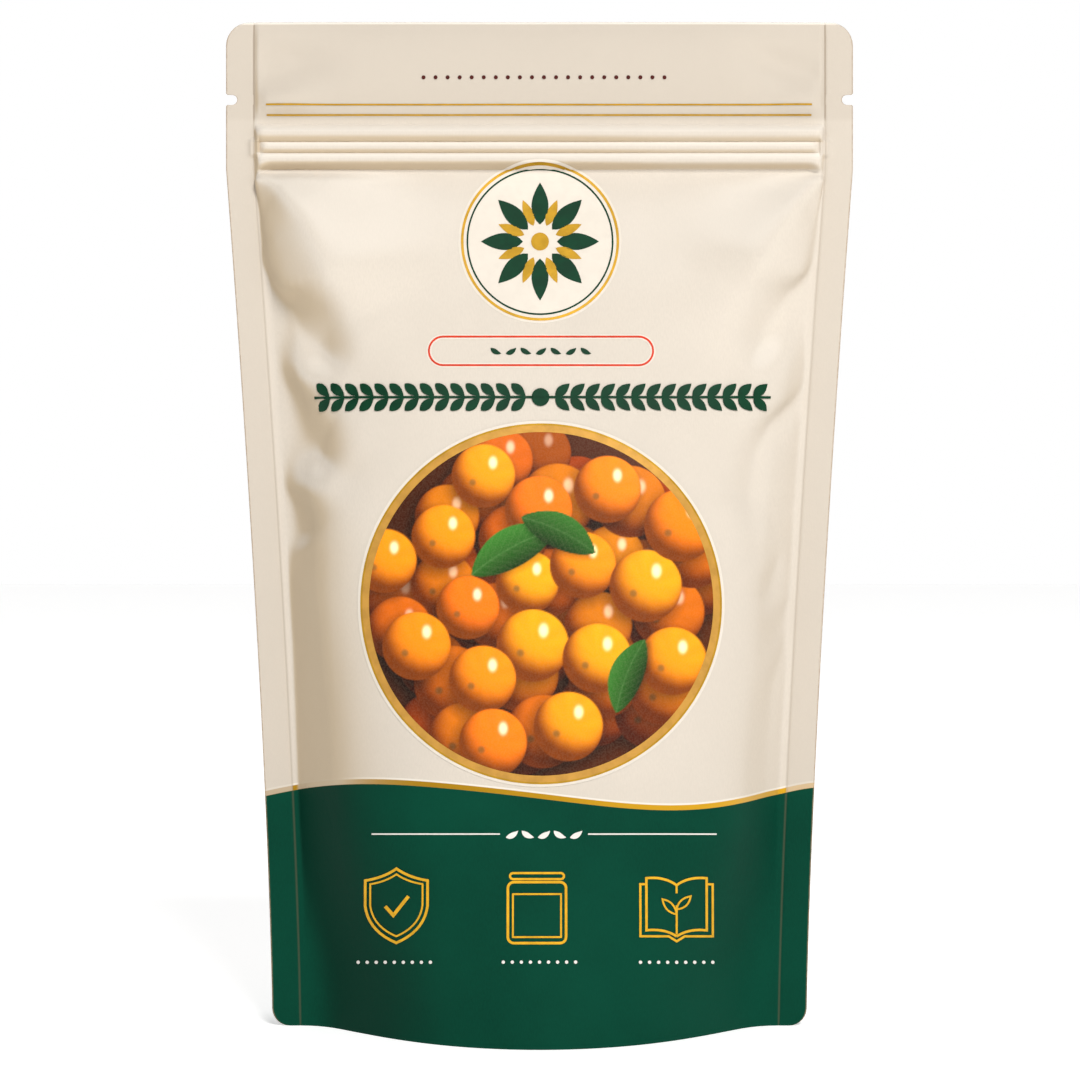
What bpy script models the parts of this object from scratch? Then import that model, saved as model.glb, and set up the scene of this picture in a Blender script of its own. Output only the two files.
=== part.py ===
"""A resealable stand-up pouch for garden seeds, filled, closed and standing.

Two film panels are joined down both sides, a folded gusset closes the base, a press-to-close
zipper runs across under the header, and loose seeds fill the lower half. Metres, +Z up. The
front faces -Y, and the origin is under the middle of the pouch, on what it stands on.
"""

import math

import bmesh
import bpy
import numpy as np
from mathutils import Matrix

# Driving dimensions of the flat pouch
FLAT_WIDTH = 0.130
HEIGHT = 0.208
SIDE_SEAL = 0.0058
TOP_CORNER_RADIUS = 0.0048
BASE_CORNER_RADIUS = 0.0036
FILM = 0.0003
GAP = 0.0003

# Tear notches: round-ended slots in both side seals, measured down from the top edge
NOTCH_DROP = 0.0160
NOTCH_HEIGHT = 0.0021
NOTCH_DEPTH = 0.0023

# Zipper rolls, each as its top and base below the top edge
ZIP_ROLLS = ((0.0212, 0.0249), (0.0249, 0.0272), (0.0272, 0.0305))
ZIP_PLATE = 0.0013
ZIP_ROLL_HEIGHT = 0.0004
ZIP_EDGE = 0.0009
ZIP_SIDE_RAMP = 0.05

# Belly: how the filled film stands out and draws the side edges in
NARROWING = 0.0096
NARROWING_POWER = 1.4
STEEPEST_AT_BASE = 0.80
STEEPEST_ABOVE = 0.92
STEEPEST_RISE = 0.070
BELLY_EASE = 0.12

# Zipper strips inside, in cross-section
STRIP_THICKNESS = 0.0003
STRIP_HALF_LENGTH = 0.0555
STRIP_MARGIN = 0.0012
STEM_WIDTH = 0.0004
BEAD_WIDTH = 0.0013
BEAD_DEPTH = 0.0005
JAW_WIDTH = 0.0004

# Gusset: the folded film that makes the base
GUSSET_FOLD_HEIGHT = 0.032
GUSSET_SEAL_HEIGHT = 0.005
GUSSET_SEAL_POWER = 3.0
GUSSET_FLAT_ALONG = 0.42
GUSSET_FLAT_ACROSS = 0.55
GUSSET_END_SHARE = 0.87
GUSSET_GAP = 0.0004

# Seeds
SEED_LEVEL = 0.112
SEED_HEAP = 0.006
SEED_CLEARANCE = 0.0010
SEED_END_CLEARANCE = 0.0024
SEED_END_SHARE = 0.80

HALF_FILM = FLAT_WIDTH / 2 - SIDE_SEAL
BELLY_TOP = HEIGHT - ZIP_ROLLS[-1][1]
ZIP_TOP = HEIGHT - ZIP_ROLLS[0][0]
SAMPLES = (np.arange(48) + 0.5) / 48

# Shares of the way from the middle of a panel to its seal line
FILM_SHARES = (0.0, 0.13, 0.26, 0.38, 0.5, 0.62, 0.73, 0.82, 0.89, 0.95, 1.0)
SEAL_EDGE = 2.0


def half_width(z):
    """Half the pouch's width: full down to the zipper, then drawn in by a power of the way down."""
    way = np.clip((BELLY_TOP - z) / BELLY_TOP, 0, 1)
    return FLAT_WIDTH / 2 - NARROWING * (1 - (1 - way) ** NARROWING_POWER)


def steepest_slope(z):
    """The film's greatest slope in plan at height z, in radians.

    Film that keeps its length over the narrowed width slopes by sqrt(8 (1 - sqrt(chord / film))).
    Under the zipper that is eased in, because small folds take up the spare film there.
    """
    chord = (half_width(z) - SIDE_SEAL) / HALF_FILM
    way = np.clip((BELLY_TOP - z) / BELLY_TOP, 0, 1)
    return np.sqrt(8 * (1 - np.sqrt(chord))) * (1 - np.exp(-way / BELLY_EASE))


def ease(way):
    way = np.clip(way, 0, 1)
    return way * way * (3 - 2 * way)


def lean(share, z):
    """The slope's share of its greatest: a quarter sine up to the steepest place, then back to nil.

    That place is further from the seal at the base, where the gusset holds the corners flat.
    """
    steepest = STEEPEST_AT_BASE + (STEEPEST_ABOVE - STEEPEST_AT_BASE) * ease(z / STEEPEST_RISE)
    rising = np.sin(math.pi / 2 * share / steepest)
    falling = np.cos(math.pi / 2 * (share - steepest) / (1 - steepest))
    return np.where(share < steepest, rising, falling)


def travel(share, z):
    """How far the film has gone sideways and inwards, from the middle to each share."""
    slope = steepest_slope(z)[..., None] * lean(share[..., None] * SAMPLES, z[..., None])
    length = share * HALF_FILM
    return length * np.cos(slope).mean(-1), length * np.sin(slope).mean(-1)


def belly(share, z):
    """x, depth and slope of the film, for a share from the middle (0) to the seal line (1)."""
    share, z = np.broadcast_arrays(np.asarray(share, float), np.asarray(z, float))
    sideways, inwards = travel(share, z)
    full_sideways, full_inwards = travel(np.ones_like(share), z)
    chord = half_width(z) - SIDE_SEAL
    slope = steepest_slope(z) * lean(share, z)
    return sideways * chord / full_sideways, full_inwards - inwards, slope


def edge_inset(z):
    """How far the rounded corners draw the side edge in at height z."""
    above = np.clip(z - (HEIGHT - TOP_CORNER_RADIUS), 0, TOP_CORNER_RADIUS)
    below = np.clip(BASE_CORNER_RADIUS - z, 0, BASE_CORNER_RADIUS)
    top = TOP_CORNER_RADIUS - np.sqrt(TOP_CORNER_RADIUS**2 - above**2)
    base = BASE_CORNER_RADIUS - np.sqrt(BASE_CORNER_RADIUS**2 - below**2)
    return top + base


def zipper_relief(share, z):
    """How far the film stands out over the zipper: a plate with three half-round rolls on it."""
    from_edge = np.minimum(ZIP_TOP - z, z - BELLY_TOP)
    relief = ZIP_PLATE * np.clip(from_edge / ZIP_EDGE, 0, 1)
    for top_drop, base_drop in ZIP_ROLLS:
        way = np.clip((HEIGHT - top_drop - z) / (base_drop - top_drop), 0, 1)
        relief = relief + 2 * ZIP_ROLL_HEIGHT * np.sqrt(way * (1 - way))
    return relief * np.clip((1 - share) / ZIP_SIDE_RAMP, 0, 1)


def panel_rows():
    """Heights of the panel's rows: close in the corners and over the rolls, wide on the belly."""
    turns = np.radians([0, 30, 60, 90])
    base = BASE_CORNER_RADIUS * (1 - np.cos(turns))
    body = np.linspace(0.014, 0.164, 12)
    under_zip = BELLY_TOP - np.array([0.0075, 0.0035])
    rolls = [BELLY_TOP]
    for top_drop, base_drop in reversed(ZIP_ROLLS):
        rolls += [HEIGHT - base_drop + way * (base_drop - top_drop) for way in (0.25, 0.6, 1.0)]
    header = [ZIP_TOP + 0.007]
    top = HEIGHT - TOP_CORNER_RADIUS * (1 - np.sin(turns))
    return np.concatenate([base, body, under_zip, rolls, header, top])


def grid_object(name, columns, rows, place, collection, material):
    """An open sheet: a grid primitive whose vertex (i, j) goes to place(columns[i], rows[j])."""
    mesh = bpy.data.meshes.new(name)
    sheet = bmesh.new()
    bmesh.ops.create_grid(sheet, x_segments=len(columns) - 1, y_segments=len(rows) - 1, size=1)
    flat = np.array([vertex.co[:2] for vertex in sheet.verts])
    i = np.rint((flat[:, 0] + 1) / 2 * (len(columns) - 1)).astype(int)
    j = np.rint((flat[:, 1] + 1) / 2 * (len(rows) - 1)).astype(int)
    for vertex, point in zip(sheet.verts, place(np.asarray(columns)[i], np.asarray(rows)[j])):
        vertex.co = point
    sheet.to_mesh(mesh)
    sheet.free()
    piece = bpy.data.objects.new(name, mesh)
    mesh.materials.append(material)
    mesh.shade_smooth()
    collection.objects.link(piece)
    return piece


def add_wall(piece, even=True):
    wall = piece.modifiers.new("film_thickness", "SOLIDIFY")
    wall.thickness = FILM
    wall.offset = 0
    wall.use_even_offset = even


def panel_point(side):
    """The rule that places a panel's grid: side is -1 for the front film and 1 for the back."""

    def place(column, z):
        share = np.minimum(np.abs(column), 1)
        x, depth, _ = belly(share, z)
        edge = half_width(z) - edge_inset(z)
        x = np.where(np.abs(column) > 1, edge, x)
        out = (GAP + FILM) / 2 + depth + zipper_relief(share, z)
        return np.stack([np.sign(column) * x, side * out, z], axis=-1)

    return place


def notch_cutter(name, hand, collection):
    """A round-ended slot through both films at one side edge."""
    bar = bmesh.new()
    radius = NOTCH_HEIGHT / 2
    bmesh.ops.create_cone(
        bar, cap_ends=True, segments=16, radius1=radius, radius2=radius, depth=0.01
    )
    bmesh.ops.rotate(bar, verts=bar.verts, matrix=Matrix.Rotation(math.pi / 2, 3, "X"))
    for vertex in bar.verts:
        if vertex.co.x > 0:
            vertex.co.x += NOTCH_DEPTH
    if hand < 0:
        bmesh.ops.rotate(bar, verts=bar.verts, matrix=Matrix.Rotation(math.pi, 3, "Z"))
    mesh = bpy.data.meshes.new(name)
    bar.to_mesh(mesh)
    bar.free()
    cutter = bpy.data.objects.new(name, mesh)
    cutter.location = (hand * (FLAT_WIDTH / 2 - NOTCH_DEPTH + radius), 0, HEIGHT - NOTCH_DROP)
    cutter.hide_render = True
    cutter.display_type = "WIRE"
    collection.objects.link(cutter)
    return cutter


def film_panel(name, side, collection, material, cutters):
    """One face of the pouch: a sheet from top edge to base, with its wall and tear notches."""
    columns = [-SEAL_EDGE, *[-s for s in reversed(FILM_SHARES[1:])], *FILM_SHARES, SEAL_EDGE]
    if side > 0:
        columns = columns[::-1]
    panel = grid_object(name, columns, panel_rows(), panel_point(side), collection, material)
    add_wall(panel)
    for cutter in cutters:
        cut = panel.modifiers.new(cutter.name, "BOOLEAN")
        cut.object = cutter
        cut.operation = "DIFFERENCE"
        cut.solver = "EXACT"
    return panel


def gusset_seal_height(share):
    """Where the gusset leaves the panels: low in the middle, up to the fold at the ends."""
    return GUSSET_SEAL_HEIGHT + (GUSSET_FOLD_HEIGHT - GUSSET_SEAL_HEIGHT) * share**GUSSET_SEAL_POWER


def gusset_ridge_height(share):
    """The gusset's middle line: on the surface in the middle, then up to the fold at each end."""
    way = np.clip((share - GUSSET_FLAT_ALONG) / (1 - GUSSET_FLAT_ALONG), 0, 1)
    return FILM / 2 + (GUSSET_FOLD_HEIGHT - FILM / 2) * way**1.5


def gusset_sheet_height(share, across):
    """The gusset's height, for the share along it and the share across from ridge to panel."""
    flat = GUSSET_FLAT_ACROSS * (1 - ease(share / 0.8))
    rise = ease((across - flat) / (1 - flat))
    ridge = gusset_ridge_height(share)
    return ridge + (gusset_seal_height(share) - ridge) * rise


def gusset_point(column, row):
    """Places the gusset's grid.

    A row of size up to 1 lies on the sheet, from its ridge to its seal with the panel. From 1
    to 2 it runs down the inside of the panel to the base, as the sealed band does.
    """
    share = np.abs(column)
    across = np.minimum(np.abs(row), 1)
    seal_height = gusset_seal_height(share)
    down = np.clip(np.abs(row) - 1, 0, 1)
    z = np.where(np.abs(row) > 1, seal_height * (1 - down), gusset_sheet_height(share, across))
    x, depth, slope = belly(share, np.where(np.abs(row) > 1, z, seal_height))
    inside = depth + (GAP + FILM) / 2 - (GUSSET_GAP + FILM) / np.cos(slope)
    return np.stack([np.sign(column) * x, np.sign(row) * across * inside, z], axis=-1)


def bottom_gusset(collection, material):
    shares = [s for s in FILM_SHARES if s < GUSSET_END_SHARE] + [GUSSET_END_SHARE]
    columns = [-s for s in reversed(shares[1:])] + shares
    half_rows = [0.0, 0.3, 0.55, 0.7, 0.82, 0.92, 1.0, 1.5, 2.0]
    rows = [-r for r in reversed(half_rows[1:])] + half_rows
    gusset = grid_object("bottom_gusset", columns, rows, gusset_point, collection, material)
    add_wall(gusset, even=False)
    return gusset


def strip_object(name, outline, collection, material):
    """A zipper strip: its cross-section, as (depth, height) points, drawn out along X."""
    curve = bpy.data.curves.new(name, "CURVE")
    curve.dimensions = "2D"
    curve.fill_mode = "BOTH"
    curve.extrude = STRIP_HALF_LENGTH
    spline = curve.splines.new("POLY")
    spline.points.add(len(outline) - 1)
    for point, (depth, height) in zip(spline.points, outline):
        point.co = (depth, height, 0, 1)
    spline.use_cyclic_u = True
    curve.materials.append(material)
    strip = bpy.data.objects.new(name, curve)
    strip.matrix_world = Matrix(((0, 0, 1), (1, 0, 0), (0, 1, 0))).to_4x4()
    collection.objects.link(strip)
    return strip


def mirrored_outline(half):
    """Closes an outline whose points above its middle height are given, from top to middle."""
    return half + [(depth, -height) for depth, height in reversed(half)]


def zipper_strips(collection, material):
    """The rib strip on the front film, and the grooved strip on the back film that holds it."""
    zip_middle = HEIGHT - (ZIP_ROLLS[1][0] + ZIP_ROLLS[1][1]) / 2
    outer = ZIP_PLATE + (GAP + FILM) / 2 - FILM / 2 - GAP
    inner = outer - STRIP_THICKNESS
    top = ZIP_TOP - STRIP_MARGIN - zip_middle
    base = zip_middle - BELLY_TOP - STRIP_MARGIN
    bead_far = inner - GAP
    bead_near = bead_far - BEAD_DEPTH
    mouth = STEM_WIDTH / 2 + GAP
    cavity = BEAD_WIDTH / 2 + GAP
    lip_outer = -inner + GAP
    lip_inner = bead_near - GAP
    rib_half = [(-inner, STEM_WIDTH / 2), (bead_near, STEM_WIDTH / 2)]
    rib_half += [(bead_near, BEAD_WIDTH / 2), (bead_far, BEAD_WIDTH / 2)]
    groove_half = [(inner, cavity + JAW_WIDTH), (lip_outer, cavity + JAW_WIDTH)]
    groove_half += [(lip_outer, mouth), (lip_inner, mouth), (lip_inner, cavity), (inner, cavity)]
    rib = [(-outer, top), (-inner, top)] + mirrored_outline(rib_half)
    rib += [(-inner, -base), (-outer, -base)]
    groove = [(outer, top), (inner, top)] + mirrored_outline(groove_half)
    groove += [(inner, -base), (outer, -base)]
    for name, outline in (("zipper_rib_strip", rib), ("zipper_groove_strip", groove)):
        strip_object(name, outline, collection, material).location.z = zip_middle


def share_at(x, z):
    """The share of the film that lies at distance x from the middle, at height z."""
    shares = np.linspace(0, 1, 60)
    found = np.empty_like(x)
    for k in range(len(x)):
        reach, _, _ = belly(shares, np.full_like(shares, z[k]))
        found[k] = np.interp(x[k], reach, shares)
    return found


def seed_point(unit):
    """Places a unit ball's points as the heap of seeds.

    The ball's lower third lies on the gusset, its middle third follows the panels upwards, and
    its top third is the heap's low crown. Longitude runs round the pouch's lens-shaped plan.
    """
    latitude = np.arcsin(np.clip(unit[:, 2], -1, 1)) / (math.pi / 2)
    longitude = np.arctan2(unit[:, 1], unit[:, 0])
    spread = np.clip((1 - np.abs(latitude)) * 1.5, 0, 1)
    climb = np.clip((latitude + 1 / 3) * 1.5, 0, 1)
    around = np.cos(longitude)
    rim_share = np.abs(around) * SEED_END_SHARE
    foot = gusset_seal_height(rim_share) + SEED_END_CLEARANCE
    wall_z = foot + (SEED_LEVEL - foot) * climb
    wall_x, wall_depth, wall_slope = belly(rim_share, wall_z)
    wall_y = wall_depth - SEED_CLEARANCE / np.cos(wall_slope)
    end = ease((1 - np.abs(around)) / 0.06)
    x = np.sign(around) * wall_x * spread
    y = np.sign(np.sin(longitude)) * wall_y * end * spread
    share = share_at(np.abs(x), np.full_like(x, GUSSET_SEAL_HEIGHT))
    _, depth, _ = belly(share, gusset_seal_height(share))
    on_gusset = gusset_sheet_height(share, np.clip(np.abs(y) / depth, 0, 1))
    on_gusset = on_gusset + SEED_CLEARANCE + (SEED_END_CLEARANCE - SEED_CLEARANCE) * share
    crown = SEED_LEVEL + SEED_HEAP * (1 - spread**2)
    z = np.where(latitude < -1 / 3, on_gusset, np.where(latitude > 1 / 3, crown, wall_z))
    return np.stack([x, y, z], axis=-1)


def seed_fill(collection, material):
    """The seeds as one heap inside the pouch."""
    heap = bmesh.new()
    bmesh.ops.create_uvsphere(heap, u_segments=32, v_segments=18, radius=1)
    unit = np.array([vertex.co for vertex in heap.verts])
    for vertex, point in zip(heap.verts, seed_point(unit)):
        vertex.co = point
    bmesh.ops.recalc_face_normals(heap, faces=heap.faces)
    mesh = bpy.data.meshes.new("seed_fill")
    heap.to_mesh(mesh)
    heap.free()
    mesh.materials.append(material)
    piece = bpy.data.objects.new("seed_fill", mesh)
    collection.objects.link(piece)
    return piece


def plain_material(name, colour, roughness):
    material = bpy.data.materials.new(name)
    material.use_nodes = True
    shader = material.node_tree.nodes["Principled BSDF"]
    shader.inputs["Base Color"].default_value = (*colour, 1)
    shader.inputs["Roughness"].default_value = roughness
    shader.inputs["Metallic"].default_value = 0
    return material


def new_collection(name):
    collection = bpy.data.collections.new(name)
    bpy.context.scene.collection.children.link(collection)
    return collection


def main():
    for leftover in list(bpy.data.objects):
        bpy.data.objects.remove(leftover)
    pouch = new_collection("Seed_pouch")
    tools = new_collection("Cutters")
    tools.hide_render = True
    front_film = plain_material("front_film_cream", (0.80, 0.71, 0.58), 0.55)
    back_film = plain_material("back_film_cream", (0.78, 0.69, 0.56), 0.55)
    gusset_film = plain_material("gusset_film_green", (0.004, 0.060, 0.034), 0.5)
    zipper = plain_material("zipper_clear_white", (0.85, 0.85, 0.82), 0.35)
    seeds = plain_material("seeds_tan", (0.55, 0.36, 0.14), 0.8)
    cutters = [notch_cutter("notch_left", -1, tools), notch_cutter("notch_right", 1, tools)]
    film_panel("front_panel", -1, pouch, front_film, cutters)
    film_panel("back_panel", 1, pouch, back_film, cutters)
    bottom_gusset(pouch, gusset_film)
    zipper_strips(pouch, zipper)
    seed_fill(pouch, seeds)


main()
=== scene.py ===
"""Looks of a filled stand-up seed pouch.

Cream satin film with a green foot, a gold wave between them, gold rules over the press-to-close
zipper, a round fruit picture, line pictograms and plain ornaments.

Metres, +Z up, the front faces -Y. A picture point is a column and a row, counted down, of the
camera's own picture of 1080 by 1080. Folds and print are placed by picture points.
"""

import math

import bpy
import numpy as np
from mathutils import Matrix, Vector


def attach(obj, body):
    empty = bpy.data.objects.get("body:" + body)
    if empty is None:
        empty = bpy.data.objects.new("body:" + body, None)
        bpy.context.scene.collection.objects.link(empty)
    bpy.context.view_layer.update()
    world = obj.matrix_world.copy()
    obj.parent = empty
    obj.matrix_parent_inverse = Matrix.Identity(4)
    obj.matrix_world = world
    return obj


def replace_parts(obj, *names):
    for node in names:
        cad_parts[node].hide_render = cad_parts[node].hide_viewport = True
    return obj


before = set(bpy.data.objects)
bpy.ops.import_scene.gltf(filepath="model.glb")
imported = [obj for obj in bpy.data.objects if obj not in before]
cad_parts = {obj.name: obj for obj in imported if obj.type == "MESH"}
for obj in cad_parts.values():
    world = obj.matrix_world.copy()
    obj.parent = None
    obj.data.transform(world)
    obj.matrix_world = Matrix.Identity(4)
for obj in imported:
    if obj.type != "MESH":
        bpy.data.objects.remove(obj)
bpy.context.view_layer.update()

MM = 0.001

# The pouch, as in the solids
FLAT_WIDTH = 0.130
HEIGHT = 0.208
SIDE_SEAL = 0.0058
HALF_FILM = FLAT_WIDTH / 2 - SIDE_SEAL
TOP_CORNER = 0.0048
BASE_CORNER = 0.0036
NOTCH_Z = HEIGHT - 0.0160
NOTCH_RADIUS = 0.00105
NOTCH_DEPTH = 0.0023
NOTCH_LIP = 0.00035
NARROWING = 0.0096
NARROWING_POWER = 1.4
BELLY_EASE = 0.12
FILM = 0.00022
SKIN = 0.00012

# The zipper's rolls, each from and to this far below the top, and their relief
ZIP_ROLLS = ((0.0212, 0.0249), (0.0249, 0.0272), (0.0272, 0.0305))
ROLL_RISES = (0.00112, 0.00070, 0.00096)
ROLL_STARTS = (0.0000, 0.0015, 0.0002)
ROLL_DROOPS = (0.0, 0.0, 0.0014)
ROLL_EASE = 0.0009
ZIP_TOP = HEIGHT - ZIP_ROLLS[0][0]
BELLY_TOP = HEIGHT - ZIP_ROLLS[-1][1]
ZIP_END = 0.0038
PLATE_RISE = 0.00125
PLATE_TOP_EASE = 0.0014
PLATE_BASE_EASE = 0.0015
PLATE_BASE_DROOP = 0.0013
PLATE_START = -0.0002
PLATE_END_EASE = 0.0022

# The flattened end of the middle roll, over the seal line
PAD_RISE = 0.0006
PAD_HALF_HEIGHT = 0.0021
PAD_OUTWARD = 0.0012
PAD_INWARD = 0.0013
PAD_EASE = 0.0007
PAD_INNER_EASE = 0.0004
PAD_RIDGE = 0.0009
PAD_RIDGE_WIDTH = 0.00022
PAD_RIDGE_SHARE = 0.5

# Slope of the filled film, by its length from the seal
STEEP = math.radians(57)
FLANK_RISE = 0.0024
FLANK_RUN = 0.0102
FLANK_FADE = 0.0150
FLANK_REST = 0.028
FLANK_SHORTEST = 0.25
FLANK_GROWTH = 2.2
FLANK_START = 0.05
SMALLEST_FLANK = 0.02
LARGEST_FLANK = 3.0
HALVINGS = 26

# The base, which the gusset shapes up to a height and over some more
STEEPEST_SHARE = 0.80
STEEPEST_SHIFT = 0.12
STEEPEST_SHIFTED_AT = 0.070
GUSSET_SHAPED = 0.004
GUSSET_SHAPED_EASE = 0.040

# Points of the film's tables
TABLE_COLUMNS = 401
TABLE_ROWS = 209

# The header and the seal line
HEADER_EASE = 0.004
PUFF_RISE = 0.0006
PUFF_EASE = 0.0012
BULGE_RISE = 0.0015
BULGE_EASE = 0.022
BULGE_HEIGHT = 0.010
GROOVE_DEPTH = 0.00022
GROOVE_WIDTH = 0.00030
GROOVE_IN_HEADER = 1.2
GROOVE_BELOW = 0.7

# The photographer's place: level, straight in front
PICTURE_SIDE = 1080
EYE_ROW = 540
MIDDLE = 539.5
CAMERA_BACK = 0.600
CAMERA_UP = 0.1007
FOCAL = 2892.0
PIXEL = CAMERA_BACK / FOCAL
SENSOR = 36
ZIP_TOP_SEEN = ZIP_TOP - CAMERA_UP
FIRST_DEPTH = 0.02
RAY_PASSES = 14

# Folds: line in picture points, lift in millimetres, widths above and below the line
FRONT_FOLDS = (
    (((264, 180), (284, 193), (308, 218), (327, 256), (343, 294), (356, 326)), 5.4, 66, 36),
    (((261, 284), (269, 305), (288, 329), (316, 352), (352, 374)), -5.6, 36, 26),
    (((265, 362), (270, 392), (283, 425), (306, 453), (340, 474)), -5.6, 36, 24),
    (((273, 484), (277, 505), (283, 530), (292, 556)), -3.4, 30, 18),
    (((281, 560), (284, 578), (289, 604), (293, 650), (298, 700)), -0.4, 20, 14),
    (((818, 180), (794, 205), (774, 236), (756, 268), (738, 300)), 3.6, 44, 24),
    (((819, 276), (802, 298), (778, 328), (746, 366)), -5.4, 28, 18),
    (((802, 398), (778, 425), (762, 455), (757, 500), (760, 545)), -2.8, 26, 20),
    (((780, 560), (772, 590), (764, 612)), -0.8, 18, 14),
    (((792, 600), (786, 619), (772, 648)), -0.7, 16, 12),
    (((786, 640), (772, 690), (768, 760), (766, 860)), -0.5, 16, 12),
)
BACK_FOLDS = (
    (((812, 182), (796, 200), (778, 226), (760, 262), (742, 300)), 3.8, 64, 30),
    (((266, 182), (286, 203), (304, 234), (322, 268), (340, 300)), 3.4, 60, 28),
    (((814, 272), (804, 300), (780, 330), (741, 352)), -3.2, 34, 20),
    (((808, 380), (800, 410), (780, 446), (746, 470)), -3.0, 32, 18),
    (((266, 312), (276, 346), (300, 384), (338, 404)), -3.2, 34, 20),
    (((276, 440), (286, 480), (310, 514), (342, 532)), -2.6, 28, 16),
    (((792, 520), (786, 570), (774, 620), (770, 700)), -0.9, 18, 12),
    (((296, 600), (302, 660), (308, 760), (308, 900)), -0.6, 20, 12),
)
# Every fold's growth, by the way along its line from 0 to 1
FOLD_STEPS = 144
FOLD_PASSES = 54
FOLD_START = 0.5
FOLD_GROWN = 0.35
FOLD_FADE = 0.66
FOLD_LOSS = 0.75
FOLD_NARROW = 0.28
FOLD_WIDE = 0.6
FOLD_POWER = 1.6

# Where folds and the film's slow waves die out, and what share of the room inside they may take
FOLD_SEAL_EASE = 0.0012
FOLD_TOP = BELLY_TOP + 0.0002
FOLD_TOP_OPEN = 0.0004
FOLD_TOP_EASE = 0.0030
WAVE_SEAL_EASE = 0.003
WAVES_FROM = 0.01
WAVES_EASE = 0.03
ROOM_TO_SINK = 0.9
SLOW_WAVES = 0.05
CROSSED_WAVES = 0.06

# Dimples of the header: middle and half sizes in picture points, lift in millimetres, slant
HEADER_DIMPLES = (
    ((284, 100), (32, 15), 1.4, 0.0),
    ((296, 62), (40, 18), -1.3, 0.0),
    ((802, 101), (30, 15), 1.2, 0.0),
    ((780, 64), (30, 17), -1.2, 1.2),
)

# Mesh columns over half the film and over a seal, and mesh rows: runs of from, to and step
FILM_RUNS = ((0, 42 * MM, 1.1 * MM), (42 * MM, 57.6 * MM, 0.5 * MM), (57.6 * MM, HALF_FILM, 0.16 * MM))
SEAL_RUNS = ((0.12 * MM, 0.9 * MM, 0.2 * MM), (0.9 * MM, 5.2 * MM, 0.9 * MM), (5.2 * MM, SIDE_SEAL, 0.2 * MM))
BELLY_RUNS = ((BASE_CORNER + 0.8 * MM, 173.5 * MM, 1.02 * MM), (173.5 * MM, BELLY_TOP - 0.1 * MM, 0.5 * MM))
HEADER_RUNS = (
    (ZIP_TOP + 0.3 * MM, NOTCH_Z - 1.7 * MM, 0.6 * MM),
    (NOTCH_Z + 1.7 * MM, HEIGHT - TOP_CORNER - 0.6 * MM, 1.0 * MM),
)
NOTCH_CLEARANCE = 1.6 * MM
NOTCH_LIP_ROWS = (0.00003, 0.00012, 0.00025, 0.0004)
CORNER_ROWS = 8
ARC_ROWS = 11
CLOSEST_ROWS = 0.00001

# Tint of the film by its tilt: shade of faces, less toward the lamp and where they look up
LOOKS_UP = 0.3
LAMP_SIDE_LOSS = 0.72
LAMP_SIDE_REACH = 0.03
LIT_SHARE = 0.2
LIT_FROM = 0.22
LIT_OVER = 0.3
ROLL_SHADE = 0.26
ROLL_SHADE_OVER = 0.6
ROLL_LIT_FROM = 0.05
ROLL_LIT_OVER = 0.25
ROLL_MARGIN = 0.0005

# The gusset, by the solids' rule
GUSSET_SEAL_LOW = 0.005
GUSSET_SEAL_RISE = 0.027
GUSSET_RIDGE_LOW = 0.00015
GUSSET_RIDGE_HIGH = 0.032
GUSSET_RIDGE_START = 0.42
GUSSET_FLAT = 0.55
GUSSET_FLAT_TO = 0.8
GUSSET_INSET = 0.00032
GUSSET_SHARES = 0.985
GUSSET_LEAST = 0.00011
FOLD_LINE_RISE = 0.0004
FOLD_LINE_WIDTH = 0.0006
PUCKER_RISE = 0.00035
PUCKER_CENTRE = 0.075
PUCKERS = 22
FOOT_PRINT = -0.09
GUSSET_COLUMNS = 161
GUSSET_ROWS = 121
GUSSET_FLAP = (0.1, 1, 10)
GUSSET_FROM_SEAL = 0.02
FOLD_LINE_FROM = 0.15
FOLD_LINE_EASE = 0.3
PUCKER_FROM = 0.45
PUCKER_EASE = 0.4

# Print, in picture points. A ring is its radius and width. A row of dots or leaves is its
# middle, its row, its pitch, how many stand to each side, and the size of one.
RULE_ENDS = (267, 811)
RULE_ROWS = (105.4, 115.1)
RULE_WIDTH = 1.6
HEADER_DOTS = (544, 79, 12, 10, 2.0)
ROUNDEL = (540, 242)
ROUNDEL_DISC = 81.5
ROUNDEL_ROWS = 121
ROUNDEL_GOLD = (77.8, 2.6)
ROUNDEL_GREEN = (72.6, 1.7)
HEART = 9
LARGE_PETALS = (0, 38, 42, 17)
SMALL_PETALS = (0.5, 31, 28, 10)
PILL = (429, 653, 337, 365.5)
PILL_EDGE = 5.0
PILL_WIDTH = 1.9
PILL_LEAVES = (541, 351, 15, 3, 12, 5)
GARLAND_ENDS = (311, 770)
GARLAND_ROW = 397.5
GARLAND_MIDDLE = 540.5
GARLAND_LINE = 2.4
GARLAND_DOT = 9
GARLAND_PAIRS = 14
GARLAND_START = 22
GARLAND_PITCH = 15.2
GARLAND_OFF = 7.2
GARLAND_LEAF = (19, 9.6)
GARLAND_TILT = 0.72
PICTURE = (541, 604)
PICTURE_RADIUS = 172
PICTURE_GOLD = (175.5, 7.6)
PICTURE_LINE = (179.4, 1.7)
PICTURE_EDGE = (181.6, 2.8)
DIVIDER_ROW = 834
DIVIDER_RUNS = ((372, 500), (588, 716))
DIVIDER_WIDTH = 1.4
DIVIDER_LEAVES = (544, DIVIDER_ROW, 16, 2, 14, 5.5)
CAPTION_ROW = 962
CAPTION_MIDDLES = (395, 539.5, 676)
CAPTION_DOTS = (9, 4, 1.7)
BACK_PANEL = (374, 302, 333, 374)
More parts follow.
